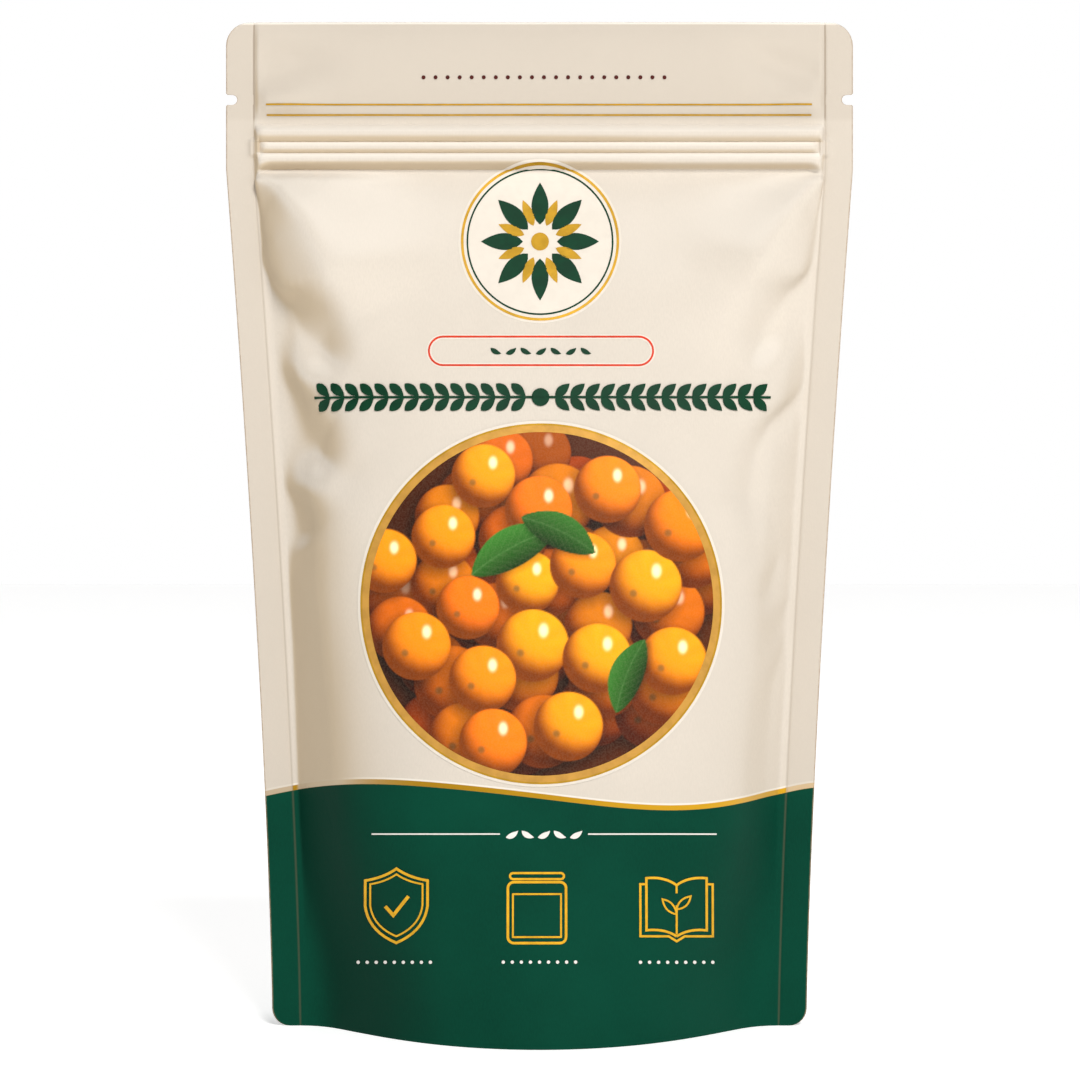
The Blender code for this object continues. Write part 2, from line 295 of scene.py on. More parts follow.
BACK_PANEL_ROWS = 73
BACK_PANEL_COLUMNS = 61
BACK_FRAME = (384, 697, 312, 666)
BACK_FRAME_CORNER = 14
BACK_FRAME_WIDTH = 3.0
WAVE = (
    (268, 793), (298, 787), (328, 783), (358, 782), (388, 782), (418, 783.5), (448, 786), (478, 789),
    (508, 792), (538, 796), (568, 800), (598, 803), (628, 806), (658, 807), (688, 807), (718, 805),
    (748, 800), (778, 791), (808, 786),
)
WAVE_HALF = 270
WAVE_POWER = 7

# Pictograms, in picture points: each one's middle, and its paths from there with their widths
SHIELD = (397, 905.5)
SHIELD_OUTSIDE = (62, 74)
SHIELD_INSIDE = (52, 62)
SHIELD_INSIDE_LIFT = 0.5
TICK = ((-11, 0.5), (-3, 9.5), (12, -9.5))
TICK_WIDTH = 3.4
OUTER_LINE = 2.6
INNER_LINE = 1.8
JAR = (537, 912.5)
JAR_OUTSIDE = (-23, 23, -24.5, 24.5, 6, 6)
JAR_INSIDE = ((-24, -18.5), (24, -18.5), (24, 24.5), (-24, 24.5))
LID_HALF = 24
LID_ROW = -36.5
LID_RADIUS = 3
LID_WIDTH = 2.2
BOOK = (676, 909)
PAGE_TOP = ((0, -24), (-12, -33), (-30, -31))
PAGE_FOOT = ((-30, 21), (-12, 19), (0, 27))
PAGE_WIDTH = 2.4
HALF_COVER = ((-30, -25), (-36, -25), (-36, 27), (-8, 27))
COVER_FOOT = (0, 32)
COVER_WIDTH = 2.2
BOOK_SPINE = ((0, -24), (0, -16))
SPROUT_STEM = ((0, 25), (0, -4))
STEM_WIDTH = 2.0
LOW_LEAF = (((0, 5), (-12, 3), (-14, -10)), ((-14, -10), (-2, -8), (0, 5)))
HIGH_LEAF = (((0, 0), (12, -1), (14, -13)), ((14, -13), (2, -11), (0, 0)))

# How far print is lifted off the film, and how thick it is
LIFT = 0.00009
UNDER_LIFT = 0.00003
PANEL_LIFT = 0.00004
PICTURE_LIFT = 0.00010
RING_LIFT = 0.00011
FRAME_LIFT = 0.00012
RING_LINE_LIFT = 0.00014
GARLAND_LIFT = 0.00019
INK = 0.00003

# How finely print is cut: steps along lines in picture points, and points of curves
STEP = 2.5
GARLAND_STEP = 3.0
RING_STEP = 4.0
RULE_STEP = 6.0
RING_POINTS = 360
LEAF_POINTS = 13
CURVE_POINTS = 10
PILL_POINTS = 16
CORNER_POINTS = 8
LID_POINTS = 6
SMALL_DOT_SIDES = 12
HAIR = 1e-3

# The studio
KEY_PLACE = (0.49, -1.50, 1.33)
KEY_AIM = (0, 0, 0.1)
KEY_SIZE = 0.62
KEY_POWER = 33.0
FLOOR_HALF = 6
HORIZON = (("From Min", 0.19), ("From Max", 0.30), ("To Min", 1.0), ("To Max", 0.15))


# Shapes of the film

def ease(way):
    """Three squares less two cubes of the way, held from 0 to 1."""
    way = np.clip(way, 0, 1)
    return way * way * (3 - 2 * way)


def unit(vectors, least=1e-9):
    """Vectors along the last axis, each over its length."""
    return vectors / np.maximum(np.linalg.norm(vectors, axis=-1), least)[..., None]


def bell(off, width):
    """The exponential of less the square of a distance over a width."""
    return np.exp(-(off / width) ** 2)


def half_width(z):
    """Full down to the zipper, then drawn in by a power of the way down."""
    way = np.clip((BELLY_TOP - z) / BELLY_TOP, 0, 1)
    return FLAT_WIDTH / 2 - NARROWING * (1 - (1 - way) ** NARROWING_POWER)


def steepest_slope(z):
    """Film that keeps its length over a narrower width slopes by sqrt(8 (1 - sqrt(chord / film)))."""
    chord = (half_width(z) - SIDE_SEAL) / HALF_FILM
    way = np.clip((BELLY_TOP - z) / BELLY_TOP, 0, 1)
    return np.sqrt(8 * (1 - np.sqrt(chord))) * (1 - np.exp(-way / BELLY_EASE))


def lean(share, z):
    """Slope over its greatest: a quarter sine up to the steepest place, then a cosine to nil."""
    steepest = STEEPEST_SHARE + STEEPEST_SHIFT * ease(z / STEEPEST_SHIFTED_AT)
    rising = np.sin(math.pi / 2 * share / steepest)
    falling = np.cos(math.pi / 2 * (share - steepest) / (1 - steepest))
    return np.where(share < steepest, rising, falling)


def flank(length, size):
    """Slope of the filled film, by its length from the seal: a quick rise, a steep run, a long fade.

    The run and the fade are as long as the film's size there, from 0 to 1.
    """
    size = np.maximum(size, SMALLEST_FLANK)
    rise = ease(length / (FLANK_RISE * np.minimum(1, FLANK_SHORTEST + FLANK_GROWTH * size)) + FLANK_START)
    past = np.maximum(length - FLANK_RUN * size, 0)
    fade = np.exp(-past / (FLANK_FADE * size))
    return STEEP * rise * fade * ease((HALF_FILM - length) / FLANK_REST)


def summed(rate):
    """Sums of a rate from the film's middle outward, taking the mean of each two neighbours."""
    middle = (rate[:, 1:] + rate[:, :-1]) / 2 * HALF_FILM / (TABLE_COLUMNS - 1)
    return np.concatenate([np.zeros((len(rate), 1)), np.cumsum(middle, axis=1)], axis=1)


def film_tables():
    """Tables of x, depth, share and slope over height and share, by adding up cosines and sines.

    The film's size at each height is halved in on, until its middle stands as far out as it
    would on a quarter sine. At the base the sine itself holds, as the gusset shapes it.
    """
    shares = np.linspace(0, 1, TABLE_COLUMNS)
    heights = np.linspace(0, HEIGHT, TABLE_ROWS)
    s, z = np.meshgrid(shares, heights)
    sine = steepest_slope(z) * lean(s, z)
    wanted = summed(np.sin(sine))[:, -1:]
    low, high = np.zeros_like(wanted), np.full_like(wanted, LARGEST_FLANK)
    for _ in range(HALVINGS):
        size = (low + high) / 2
        short = summed(np.sin(flank((1 - s) * HALF_FILM, size)))[:, -1:] < wanted
        low, high = np.where(short, size, low), np.where(short, high, size)
    slope = flank((1 - s) * HALF_FILM, size)
    slope = slope + (sine - slope) * (1 - ease((z - GUSSET_SHAPED) / GUSSET_SHAPED_EASE))
    along, down = summed(np.cos(slope)), summed(np.sin(slope))
    whole = down[:, -1:]
    chord = half_width(heights)[:, None] - SIDE_SEAL
    x = along * chord / along[:, -1:]
    depth = (whole - down) * np.where(whole > 1e-9, wanted / np.maximum(whole, 1e-9), 1)
    back = np.stack([np.interp(shares, row / row[-1], shares) for row in x])
    turn = np.arctan2(-np.gradient(depth, axis=1), np.gradient(x, axis=1))
    return x, depth, back, turn


X_TABLE, DEPTH_TABLE, SHARE_TABLE, SLOPE_TABLE = film_tables()


def looked_up(table, z, share):
    """A table's value at any height and share, by straight blending of its four neighbours."""
    row = np.clip(z / HEIGHT, 0, 1) * (table.shape[0] - 1)
    column = np.clip(share, 0, 1) * (table.shape[1] - 1)
    i = np.minimum(row.astype(int), table.shape[0] - 2)
    j = np.minimum(column.astype(int), table.shape[1] - 2)
    a, b = row - i, column - j
    upper = table[i, j] * (1 - b) + table[i, j + 1] * b
    lower = table[i + 1, j] * (1 - b) + table[i + 1, j + 1] * b
    return upper * (1 - a) + lower * a


def edge_inset(z):
    """How far corners and tear notches draw the cut edge in: quarter circles and a round slot."""
    above = np.clip(z - (HEIGHT - TOP_CORNER), 0, TOP_CORNER)
    below = np.clip(BASE_CORNER - z, 0, BASE_CORNER)
    corners = TOP_CORNER - np.sqrt(TOP_CORNER**2 - above**2)
    corners = corners + BASE_CORNER - np.sqrt(BASE_CORNER**2 - below**2)
    off = np.abs(z - NOTCH_Z)
    slot = NOTCH_DEPTH - NOTCH_RADIUS + np.sqrt(np.clip(NOTCH_RADIUS**2 - off**2, 0, None))
    lip = NOTCH_LIP * np.clip(1 - (off - NOTCH_RADIUS) / NOTCH_LIP, 0, 1) ** 2
    return corners + np.where(off <= NOTCH_RADIUS, slot, lip)


def zipper_relief(inside, z):
    """A plate with three bowed rolls on it, sunk at both ends where the seal pinches it.

    A roll's height is four times its rise, times the way down it and the way left. The lowest
    one droops at its ends, and the middle one starts further in, with a square end.
    """
    end = 1 - ease(inside / ZIP_END)
    plate = ease((ZIP_TOP - z) / PLATE_TOP_EASE)
    plate = plate * ease((z - BELLY_TOP + PLATE_BASE_DROOP * end) / PLATE_BASE_EASE)
    relief = PLATE_RISE * plate * ease((inside - PLATE_START) / PLATE_END_EASE)
    for (top, base), rise, start, droop in zip(ZIP_ROLLS, ROLL_RISES, ROLL_STARTS, ROLL_DROOPS):
        way = np.clip((HEIGHT - top - z) / (base - top + droop * end), 0, 1)
        relief = relief + 4 * rise * way * (1 - way) * ease((inside - start) / ROLL_EASE)
    return relief


def crushed_end(from_line, z):
    """The flattened end of the middle roll: a small pad with eased sides that spans the seal line."""
    middle = HEIGHT - (ZIP_ROLLS[1][0] + ZIP_ROLLS[1][1]) / 2
    tall = ease((PAD_HALF_HEIGHT - np.abs(z - middle)) / PAD_EASE)
    wide = ease((from_line + PAD_OUTWARD) / PAD_EASE) * ease((PAD_INWARD - from_line) / PAD_INNER_EASE)
    return PAD_RISE * tall * (wide + PAD_RIDGE_SHARE * bell(from_line - PAD_RIDGE, PAD_RIDGE_WIDTH))


def softened_line(points):
    """A line through given points, cut into short steps and rounded by repeated blending."""
    points = np.array(points, float)
    t = np.linspace(0, len(points) - 1, FOLD_STEPS)
    k = np.arange(len(points))
    soft = np.stack([np.interp(t, k, points[:, 0]), np.interp(t, k, points[:, 1])], axis=-1)
    for _ in range(FOLD_PASSES):
        soft[1:-1] = (soft[:-2] + 2 * soft[1:-1] + soft[2:]) / 4
    return soft


def creased(px, py, line, lift, width_up, width_down):
    """Height of one fold: the distance from its line gives a bell, wider on its upper side.

    The bell grows from the line's start, and goes out at its end.
    """
    soft = softened_line(line)
    reach = np.ptp(soft, axis=0) / 2 + 4 * width_up
    near = (np.abs(px - soft[:, 0].mean()) < reach[0]) & (np.abs(py - soft[:, 1].mean()) < reach[1])
    gap = np.stack([px[near], py[near]], axis=-1)[:, None, :] - soft[None]
    far = np.linalg.norm(gap, axis=-1)
    k = far.argmin(axis=1)
    each = np.arange(len(k))
    away = far[each, k]
    heading = unit(np.gradient(soft, axis=0))[k]
    side = gap[each, k, 0] * -heading[:, 1] + gap[each, k, 1] * heading[:, 0]
    upper = ease(0.5 - 0.5 * side * np.sign(heading[:, 0] + 1e-9) / np.maximum(away, 1e-6))
    way = k / (FOLD_STEPS - 1)
    width = width_down + (width_up - width_down) * upper
    width = width * (FOLD_NARROW + (1 - FOLD_NARROW) * ease(way / FOLD_WIDE))
    grown = FOLD_START + (1 - FOLD_START) * ease(way / FOLD_GROWN)
    left = 1 - FOLD_LOSS * ease((way - FOLD_FADE) / (1 - FOLD_FADE))
    height = np.zeros_like(px)
    height[near] = lift * np.exp(-(away / width) ** FOLD_POWER) * grown * left
    return height


def header_puff(inside, z):
    """The header's two plies stand apart: a flat puff with quick ends and a slow bulge over it."""
    over, under = z - ZIP_TOP, HEIGHT - z
    puff = ease(over / HEADER_EASE) * ease(inside / PUFF_EASE) * ease((under + 2 * MM) / (6 * MM))
    bulge = ease(over / BULGE_HEIGHT) * ease(inside / BULGE_EASE) * ease((under + 3 * MM) / (12 * MM))
    return PUFF_RISE * puff + BULGE_RISE * bulge


def dimpled(px, py):
    """Sum of the header's dimples in millimetres: a bell of each slanted distance."""
    total = np.zeros_like(px)
    for (x, y), (wide, tall), lift, slant in HEADER_DIMPLES:
        total = total + lift * bell(px - x - (py - y) * slant, wide) * bell(py - y, tall)
    return total


def waved(px, py):
    """Slow waves of all film in millimetres: two crossed sines and a slanted one."""
    crossed = CROSSED_WAVES * np.sin(px / 23 + 1.3) * np.sin(py / 31 + 0.4)
    return crossed + SLOW_WAVES * np.sin(px / 47 + py / 39)


def film_relief(side, column, share, z, px, py, depth):
    """How far the real film stands off the smooth one: seal groove, zipper, header and folds.

    Inwards it nears the pouch's middle plane as one less a falling exponential does.
    """
    sealed = np.abs(column) > 1
    inside = (1 - share) * HALF_FILM
    beyond = np.clip(np.abs(column) - 1, 0, None) * SIDE_SEAL
    in_header = np.where(z > ZIP_TOP, GROOVE_IN_HEADER, GROOVE_BELOW)
    relief = -GROOVE_DEPTH * bell(np.where(sealed, beyond, inside), GROOVE_WIDTH) * in_header
    relief = relief + (header_puff(inside, z) + zipper_relief(inside, z)) * ~sealed
    relief = relief + crushed_end(np.where(sealed, -beyond, inside), z)
    total = np.zeros_like(z)
    for fold in FRONT_FOLDS if side < 0 else BACK_FOLDS:
        total = total + creased(px, py, *fold)
    keep = ease(inside / FOLD_SEAL_EASE) * (z < FOLD_TOP)
    keep = keep * ease((BELLY_TOP - z + FOLD_TOP_OPEN) / FOLD_TOP_EASE)
    soft = dimpled(px, py) * ease((z - ZIP_TOP) / HEADER_EASE)
    soft = soft + waved(px, py) * ease((z - WAVES_FROM) / WAVES_EASE)
    folded = relief + MM * (total * keep + soft * ease(inside / WAVE_SEAL_EASE))
    room = ROOM_TO_SINK * np.maximum(depth, 1e-6)
    return np.where(folded < 0, -room * (1 - np.exp(np.minimum(folded, 0) / room)), folded)


def smooth_film(side, column, z):
    """Place, share and outward direction in plan of the film before its relief."""
    sealed = np.abs(column) > 1
    share = np.minimum(np.abs(column), 1)
    depth = looked_up(DEPTH_TABLE, z, share)
    seal_line = half_width(z) - SIDE_SEAL
    edge = half_width(z) - edge_inset(z)
    on_seal = seal_line + (edge - seal_line) * (np.abs(column) - 1)
    x = np.where(sealed, on_seal, looked_up(X_TABLE, z, share))
    slope = np.where(sealed, 0, looked_up(SLOPE_TABLE, z, share))
    hand = np.sign(column)
    place = np.stack([hand * x, side * (SKIN + depth), z], axis=-1)
    out = np.stack([hand * np.sin(slope), side * np.cos(slope), np.zeros_like(z)], axis=-1)
    return place, share, out


def seen_at(place, side):
    """Picture point of a place: its ray to the camera met with the upright middle plane."""
    reach = FOCAL / (CAMERA_BACK - np.abs(place[..., 1]))
    px = MIDDLE - side * place[..., 0] * reach
    return px, EYE_ROW - (place[..., 2] - CAMERA_UP) * reach


def film_place(side, column, z):
    """The film's middle surface with its relief, and the picture points of the smooth film."""
    place, share, out = smooth_film(side, column, z)
    px, py = seen_at(place, side)
    depth = np.abs(place[..., 1]) + np.where(np.abs(column) > 1, 0.3 * MM, 0)
    relief = film_relief(side, column, share, z, px, py, depth)
    return place + out * relief[..., None], px, py


def film_under(px, py):
    """The film's column and height where the ray of a picture point meets the smooth front."""
    px, py = np.broadcast_arrays(np.asarray(px, float), np.asarray(py, float))
    depth = np.full(px.shape, FIRST_DEPTH)
    for _ in range(RAY_PASSES):
        reach = (CAMERA_BACK - depth) / FOCAL
        x = (px - MIDDLE) * reach
        z = CAMERA_UP - (py - EYE_ROW) * reach
        share = looked_up(SHARE_TABLE, z, np.abs(x) / (half_width(z) - SIDE_SEAL))
        depth = looked_up(DEPTH_TABLE, z, share) + SKIN
    return np.where(x < 0, -share, share), z


def laid_on(px, py, lift, side=-1):
    """Places a hair off the film's outer face, each along the film's own outward direction there.

    That direction is the cross product of two short steps over the film, right and down.
    """
    steps = []
    for column, z in (film_under(px, py), film_under(px + 0.5, py), film_under(px, py + 0.5)):
        steps.append(film_place(side, -side * column, z)[0])
    there, right, below = steps
    out = unit(np.cross(right - there, below - there), 1e-15)
    out = out * np.where(out[..., 1] * side < 0, -1.0, 1.0)[..., None]
    return there + out * (lift + FILM / 2)


# Meshes

def grid_faces(rows, columns):
    """Corner numbers of the quads of a grid whose points are stored row by row."""
    i = np.arange(rows - 1)[:, None] * columns
    j = np.arange(columns - 1)[None, :]
    quads = np.stack([i + j, i + j + 1, i + columns + j + 1, i + columns + j], -1)
    return quads.reshape(-1, 4)


def mesh_piece(name, points, faces, material, smooth=True):
    """A mesh object of these points and faces, at the origin, riding on the pouch."""
    mesh = bpy.data.meshes.new(name)
    points = np.asarray(points, float).reshape(-1, 3)
    mesh.vertices.add(len(points))
    mesh.vertices.foreach_set("co", points.ravel())
    count, sides = faces.shape
    mesh.loops.add(faces.size)
    mesh.loops.foreach_set("vertex_index", faces.ravel())
    mesh.polygons.add(count)
    mesh.polygons.foreach_set("loop_start", np.arange(count) * sides)
    mesh.polygons.foreach_set("loop_total", np.full(count, sides))
    mesh.update(calc_edges=True)
    mesh.validate()
    mesh.polygons.foreach_set("use_smooth", np.full(len(mesh.polygons), smooth))
    mesh.materials.append(material)
    piece = bpy.data.objects.new(name, mesh)
    bpy.context.scene.collection.objects.link(piece)
    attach(piece, "root")
    return piece


def point_values(piece, name, values, kind="FLOAT"):
    """Stores one value or colour for each point of a piece, for its material to read."""
    layer = piece.data.attributes.new(name, kind, "POINT")
    key = {"FLOAT": "value", "FLOAT_VECTOR": "vector", "FLOAT_COLOR": "color"}[kind]
    layer.data.foreach_set(key, np.ascontiguousarray(values, dtype=float).ravel())


def thickened(piece, thickness, offset=0.0):
    """Gives a sheet its thickness: to both sides of it, or with an offset of 1 outward."""
    wall = piece.modifiers.new("thickness", "SOLIDIFY")
    wall.thickness = thickness
    wall.offset = offset
    wall.use_even_offset = False


def stepped(*runs):
    """Joins runs of (from, to, step) into one rising list of places."""
    parts = []
    for start, stop, step in runs:
        count = max(1, round((stop - start) / step))
        parts.append(np.linspace(start, stop, count, endpoint=False))
    return np.append(np.concatenate(parts), runs[-1][1])


def film_columns():
    """Columns from edge to edge: close at the seal lines, wide in the middle."""
    right = np.concatenate([stepped(*FILM_RUNS) / HALF_FILM, 1 + stepped(*SEAL_RUNS) / SIDE_SEAL])
    return np.concatenate([-right[:0:-1], right])


def film_rows():
    """Rows from base to top: close in the corners, notches and zipper."""
    turns = np.radians(np.linspace(0, 90, CORNER_ROWS))
    rows = [BASE_CORNER * (1 - np.cos(turns)), HEIGHT - TOP_CORNER * (1 - np.sin(turns))]
    bow = (1 - np.cos(np.linspace(0, math.pi, ARC_ROWS))) / 2
    rows += [HEIGHT - (base - (base - top) * bow) for top, base in ZIP_ROLLS]
    rows.append(stepped(*BELLY_RUNS))
    over = stepped(*HEADER_RUNS)
    rows.append(over[np.abs(over - NOTCH_Z) > NOTCH_CLEARANCE])
    rows.append(NOTCH_Z + NOTCH_RADIUS * np.sin(np.radians(np.linspace(-90, 90, ARC_ROWS))))
    lip = NOTCH_RADIUS + np.array(NOTCH_LIP_ROWS)
    rows += [NOTCH_Z - lip, NOTCH_Z + lip]
    every = np.unique(np.round(np.concatenate(rows), 7))
    return every[np.append(True, np.diff(every) > CLOSEST_ROWS)]


def softened(values):
    """Each value of a grid blended with its neighbours in thirds, twice each way."""
    for axis in (0, 1, 0, 1):
        padded = np.pad(values, [(1, 1) if k == axis else (0, 0) for k in (0, 1)], mode="edge")
        ends = np.moveaxis(padded, axis, 0)
        values = np.moveaxis((ends[:-2] + ends[1:-1] + ends[2:]) / 3, 0, axis)
    return values


def leaning(side, points, column, z):
    """How far the film turns from the front, for its tint: above 0 in shade, below 0 in light.

    It is one less the outward direction's forward part, less toward the lamp's side and where
    the film looks up. The zipper's rolls add their own tilt, down or up.
    """
    outward = unit(np.cross(np.gradient(points, axis=1), np.gradient(points, axis=0)), 1e-15)
    up = outward[..., 2]
    turned = (1 - np.abs(outward[..., 1])) * (1 - ease(up / LOOKS_UP))
    turned = turned * (1 - LAMP_SIDE_LOSS * ease(-side * points[..., 0] / LAMP_SIDE_REACH))
    turned = turned - LIT_SHARE * ease((up - LIT_FROM) / LIT_OVER)
    zipped = ease((z - BELLY_TOP) / ROLL_MARGIN) * ease((ZIP_TOP - z) / ROLL_MARGIN) * (np.abs(column) < 1)
    tilt = ROLL_SHADE * ease(-up / ROLL_SHADE_OVER) - LIT_SHARE * ease((up - ROLL_LIT_FROM) / ROLL_LIT_OVER)
    return softened(turned + zipped * tilt)


def film_piece(name, side, material):
    """One film of the pouch, from cut edge to cut edge, with its print places and worn edges."""
    columns, rows = film_columns(), film_rows()
    column, z = np.meshgrid(-side * columns, rows)
    points, px, py = film_place(side, column, z)
    piece = mesh_piece(name, points, grid_faces(len(rows), len(columns)), material)
    art = np.stack([(px - MIDDLE) * PIXEL, (EYE_ROW - py) * PIXEL, np.zeros_like(px)], axis=-1)
    point_values(piece, "print_place", art, "FLOAT_VECTOR")
    size = np.abs(column)
    beyond = np.clip(size - 1, 0, 1)
    far_on_the_belly = 1.0 * (size <= 1)
    point_values(piece, "from_cut", (1 - beyond) * SIDE_SEAL + far_on_the_belly)
    point_values(piece, "from_seal", np.where(size > 1, -beyond * SIDE_SEAL, (1 - size) * HALF_FILM))
    point_values(piece, "leaning", leaning(side, points, column, z))
    thickened(piece, FILM)
    return piece


def gusset_piece(material):
    """The folded film of the base: the solids' rule, from its ridge to both panels, on a fine grid."""
    shares = np.linspace(-GUSSET_SHARES, GUSSET_SHARES, GUSSET_COLUMNS)
    flap = np.linspace(*GUSSET_FLAP)
    rows = np.concatenate([-1 - flap[::-1], np.linspace(-1, 1, GUSSET_ROWS), 1 + flap])
    column, row = np.meshgrid(shares, rows)
    share, across = np.abs(column), np.minimum(np.abs(row), 1)
    on_panel = np.abs(row) > 1
    seal_height = GUSSET_SEAL_LOW + GUSSET_SEAL_RISE * share**3
    way = np.clip((share - GUSSET_RIDGE_START) / (1 - GUSSET_RIDGE_START), 0, 1)
    ridge = GUSSET_RIDGE_LOW + (GUSSET_RIDGE_HIGH - GUSSET_RIDGE_LOW) * way**1.5
    flat = GUSSET_FLAT * (1 - ease(share / GUSSET_FLAT_TO))
    sheet = ridge + (seal_height - ridge) * ease((across - flat) / (1 - flat))
    z = np.where(on_panel, seal_height * (2 - np.abs(row)), sheet)
    at = np.where(on_panel, z, seal_height)
    x = looked_up(X_TABLE, at, share)
    depth = looked_up(DEPTH_TABLE, at, share) + SKIN - GUSSET_INSET
    y = np.sign(row) * across * np.maximum(depth, 0.02 * MM)
    fold = FOLD_LINE_RISE * bell(y, FOLD_LINE_WIDTH) * ease((share - FOLD_LINE_FROM) / FOLD_LINE_EASE)
    pucker = PUCKER_RISE * np.sin(np.arctan2(y, PUCKER_CENTRE - np.abs(x)) * PUCKERS)
    pucker = pucker * ease((share - PUCKER_FROM) / PUCKER_EASE) * (1 - across**4) * ~on_panel
    z = np.maximum(z + fold + pucker, GUSSET_LEAST)
    points = np.stack([x * np.sign(column), y, z], axis=-1)
    piece = mesh_piece("gusset_film", points, grid_faces(len(rows), len(shares)), material)
    art = np.stack([x * np.sign(column), np.full_like(z, FOOT_PRINT), np.zeros_like(z)], axis=-1)
    point_values(piece, "print_place", art, "FLOAT_VECTOR")
    point_values(piece, "from_cut", np.ones_like(z))
    point_values(piece, "from_seal", np.full_like(z, GUSSET_FROM_SEAL))
    thickened(piece, FILM)
    return piece


# Materials

class Value:
    """A socket that takes part in sums: each sign adds the Math node that works it out."""

    def __init__(self, net, socket):
        self.net, self.socket = net, socket

    def math(self, operation, other=None):
        inputs = {0: self} if other is None else {0: self, 1: other}
        return self.net.add("ShaderNodeMath", {"operation": operation}, inputs)

    def turned(self, operation, other):
        return self.net.add("ShaderNodeMath", {"operation": operation}, {0: other, 1: self})

    def __add__(self, other):
        return self.math("ADD", other)

    def __sub__(self, other):
        return self.math("SUBTRACT", other)

    def __rsub__(self, other):
        return self.turned("SUBTRACT", other)

    def __mul__(self, other):
        return self.math("MULTIPLY", other)

    def __truediv__(self, other):
        return self.math("DIVIDE", other)

    def __rtruediv__(self, other):
        return self.turned("DIVIDE", other)

    def __neg__(self):
        return self.math("MULTIPLY", -1.0)

    def __abs__(self):
        return self.math("ABSOLUTE")

    __radd__ = __add__
    __rmul__ = __mul__


class Net:
    """The nodes of one material."""

    def __init__(self, name, **constants):
        self.material = bpy.data.materials.new(name)
        self.material.use_nodes = True
        self.tree = self.material.node_tree
        self.shader = self.tree.nodes["Principled BSDF"]
        self.wear(**constants)

    def add(self, kind, settings, inputs, output=0):
        """A node of this kind, its settings made first, then its inputs set or linked."""
        node = self.tree.nodes.new(kind)
        for key, value in settings.items():
            setattr(node, key, value)
        for key, value in inputs.items():
            self.feed(node.inputs[key], value)
        return Value(self, node.outputs[output])

    def feed(self, socket, value):
        if isinstance(value, Value):
            self.tree.links.new(value.socket, socket)
        elif isinstance(value, tuple) and len(value) == 3 and socket.type == "RGBA":
            socket.default_value = (*value, 1)
        else:
            socket.default_value = value

    def place(self):
        return self.add("ShaderNodeTexCoord", {}, {}, "Object")

    def stored(self, name, output="Fac"):
        return self.add("ShaderNodeAttribute", {"attribute_name": name}, {}, output)

    def parts(self, vector):
        return [self.add("ShaderNodeSeparateXYZ", {}, {0: vector}, k) for k in "XYZ"]

    def noise(self, vector, scale, detail=3.0, roughness=0.55):
        inputs = {"Vector": vector, "Scale": scale, "Detail": detail, "Roughness": roughness}
        return self.add("ShaderNodeTexNoise", {}, inputs)

    def smooth(self, value, low, high):
        inputs = {"Value": value, "From Min": low, "From Max": high}
        return self.add("ShaderNodeMapRange", {"interpolation_type": "SMOOTHSTEP"}, inputs)

    def mixed(self, share, first, second):
        """Two colours mixed by a share. The Mix node's inputs 6 and 7 are its colours."""
        return self.add("ShaderNodeMix", {"data_type": "RGBA"}, {"Factor": share, 6: first, 7: second}, 2)

    def bump(self, height, strength, distance, below=None):
        inputs = {"Height": height, "Strength": strength, "Distance": distance}
        if below is not None:
            inputs["Normal"] = below
        return self.add("ShaderNodeBump", {}, inputs)

    def wear(self, **values):
        for key, value in values.items():
            self.feed(self.shader.inputs[key.replace("_", " ")], value)
        return self.material


def toned(colour, *weights):
    """A colour times one weight, or times one for each of its parts, up to 1."""
    weights = weights * 3 if len(weights) == 1 else weights
    return tuple(min(1.0, part * weight) for part, weight in zip(colour, weights))


# Sizes of the noises, in repeats to a metre
MOTTLE = 38.0
BUCKLES = 150.0
LAY_DOWN = 420.0
SEEDS = 520.0
RUBBING = 900.0
HUSKS = 1500.0
FLOW = 1600.0
SPECKS = 2600.0
SCREEN_DOTS = 3200.0
FIBRES = 3600.0
FIBRE_TURN = 0.72
FIBRE_STRETCH = 0.28

# Colours, as linear red, green and blue
CREAM = (0.585, 0.523, 0.446)
GREEN = (0.0011, 0.0440, 0.0245)
GOLD = (0.405, 0.223, 0.0146)
BRIGHT_GOLD = (0.66, 0.35, 0.016)
OCHRE = (0.48, 0.25, 0.048)
INK_GREEN = (0.0016, 0.034, 0.0135)
INK_RED = (0.55, 0.036, 0.010)
INK_BROWN = (0.065, 0.010, 0.008)
INK_WHITE = (0.70, 0.68, 0.63)
INK_PALE = (0.655, 0.592, 0.508)
SHADED_HEADER_AND_SEAL_CREAM = toned(CREAM, 0.845, 0.8323, 0.8154)
SHADED_CREAM = toned(CREAM, 0.835, 0.75, 0.615)
SUNLIT_CREAM = toned(CREAM, 1.20, 1.235, 1.28)
PALE_LINE = (0.73, 0.68, 0.585)
TOP_EDGE_HIGHLIGHT = (0.73, 0.68, 0.60)
WAVE_GOLD = ((0.34, 0.18, 0.010), (0.58, 0.31, 0.016))
SEAL_GROOVE_SHADE = (0.18, 0.125, 0.075)
CUT_EDGE = (0.33, 0.235, 0.155)


def above_wave(across, height):
    """Millimetres above the gold wave: a polynomial through its picture points, by Horner's rule."""
    points = np.array(WAVE)
    along = (points[:, 0] - MIDDLE) / WAVE_HALF
    first, *rest = np.polyfit(along, (EYE_ROW - points[:, 1]) * PIXEL / MM, WAVE_POWER)
    u = across / (WAVE_HALF * PIXEL)
    wave = float(first)
    for factor in rest:
        wave = u * wave + float(factor)
    return height / MM - wave


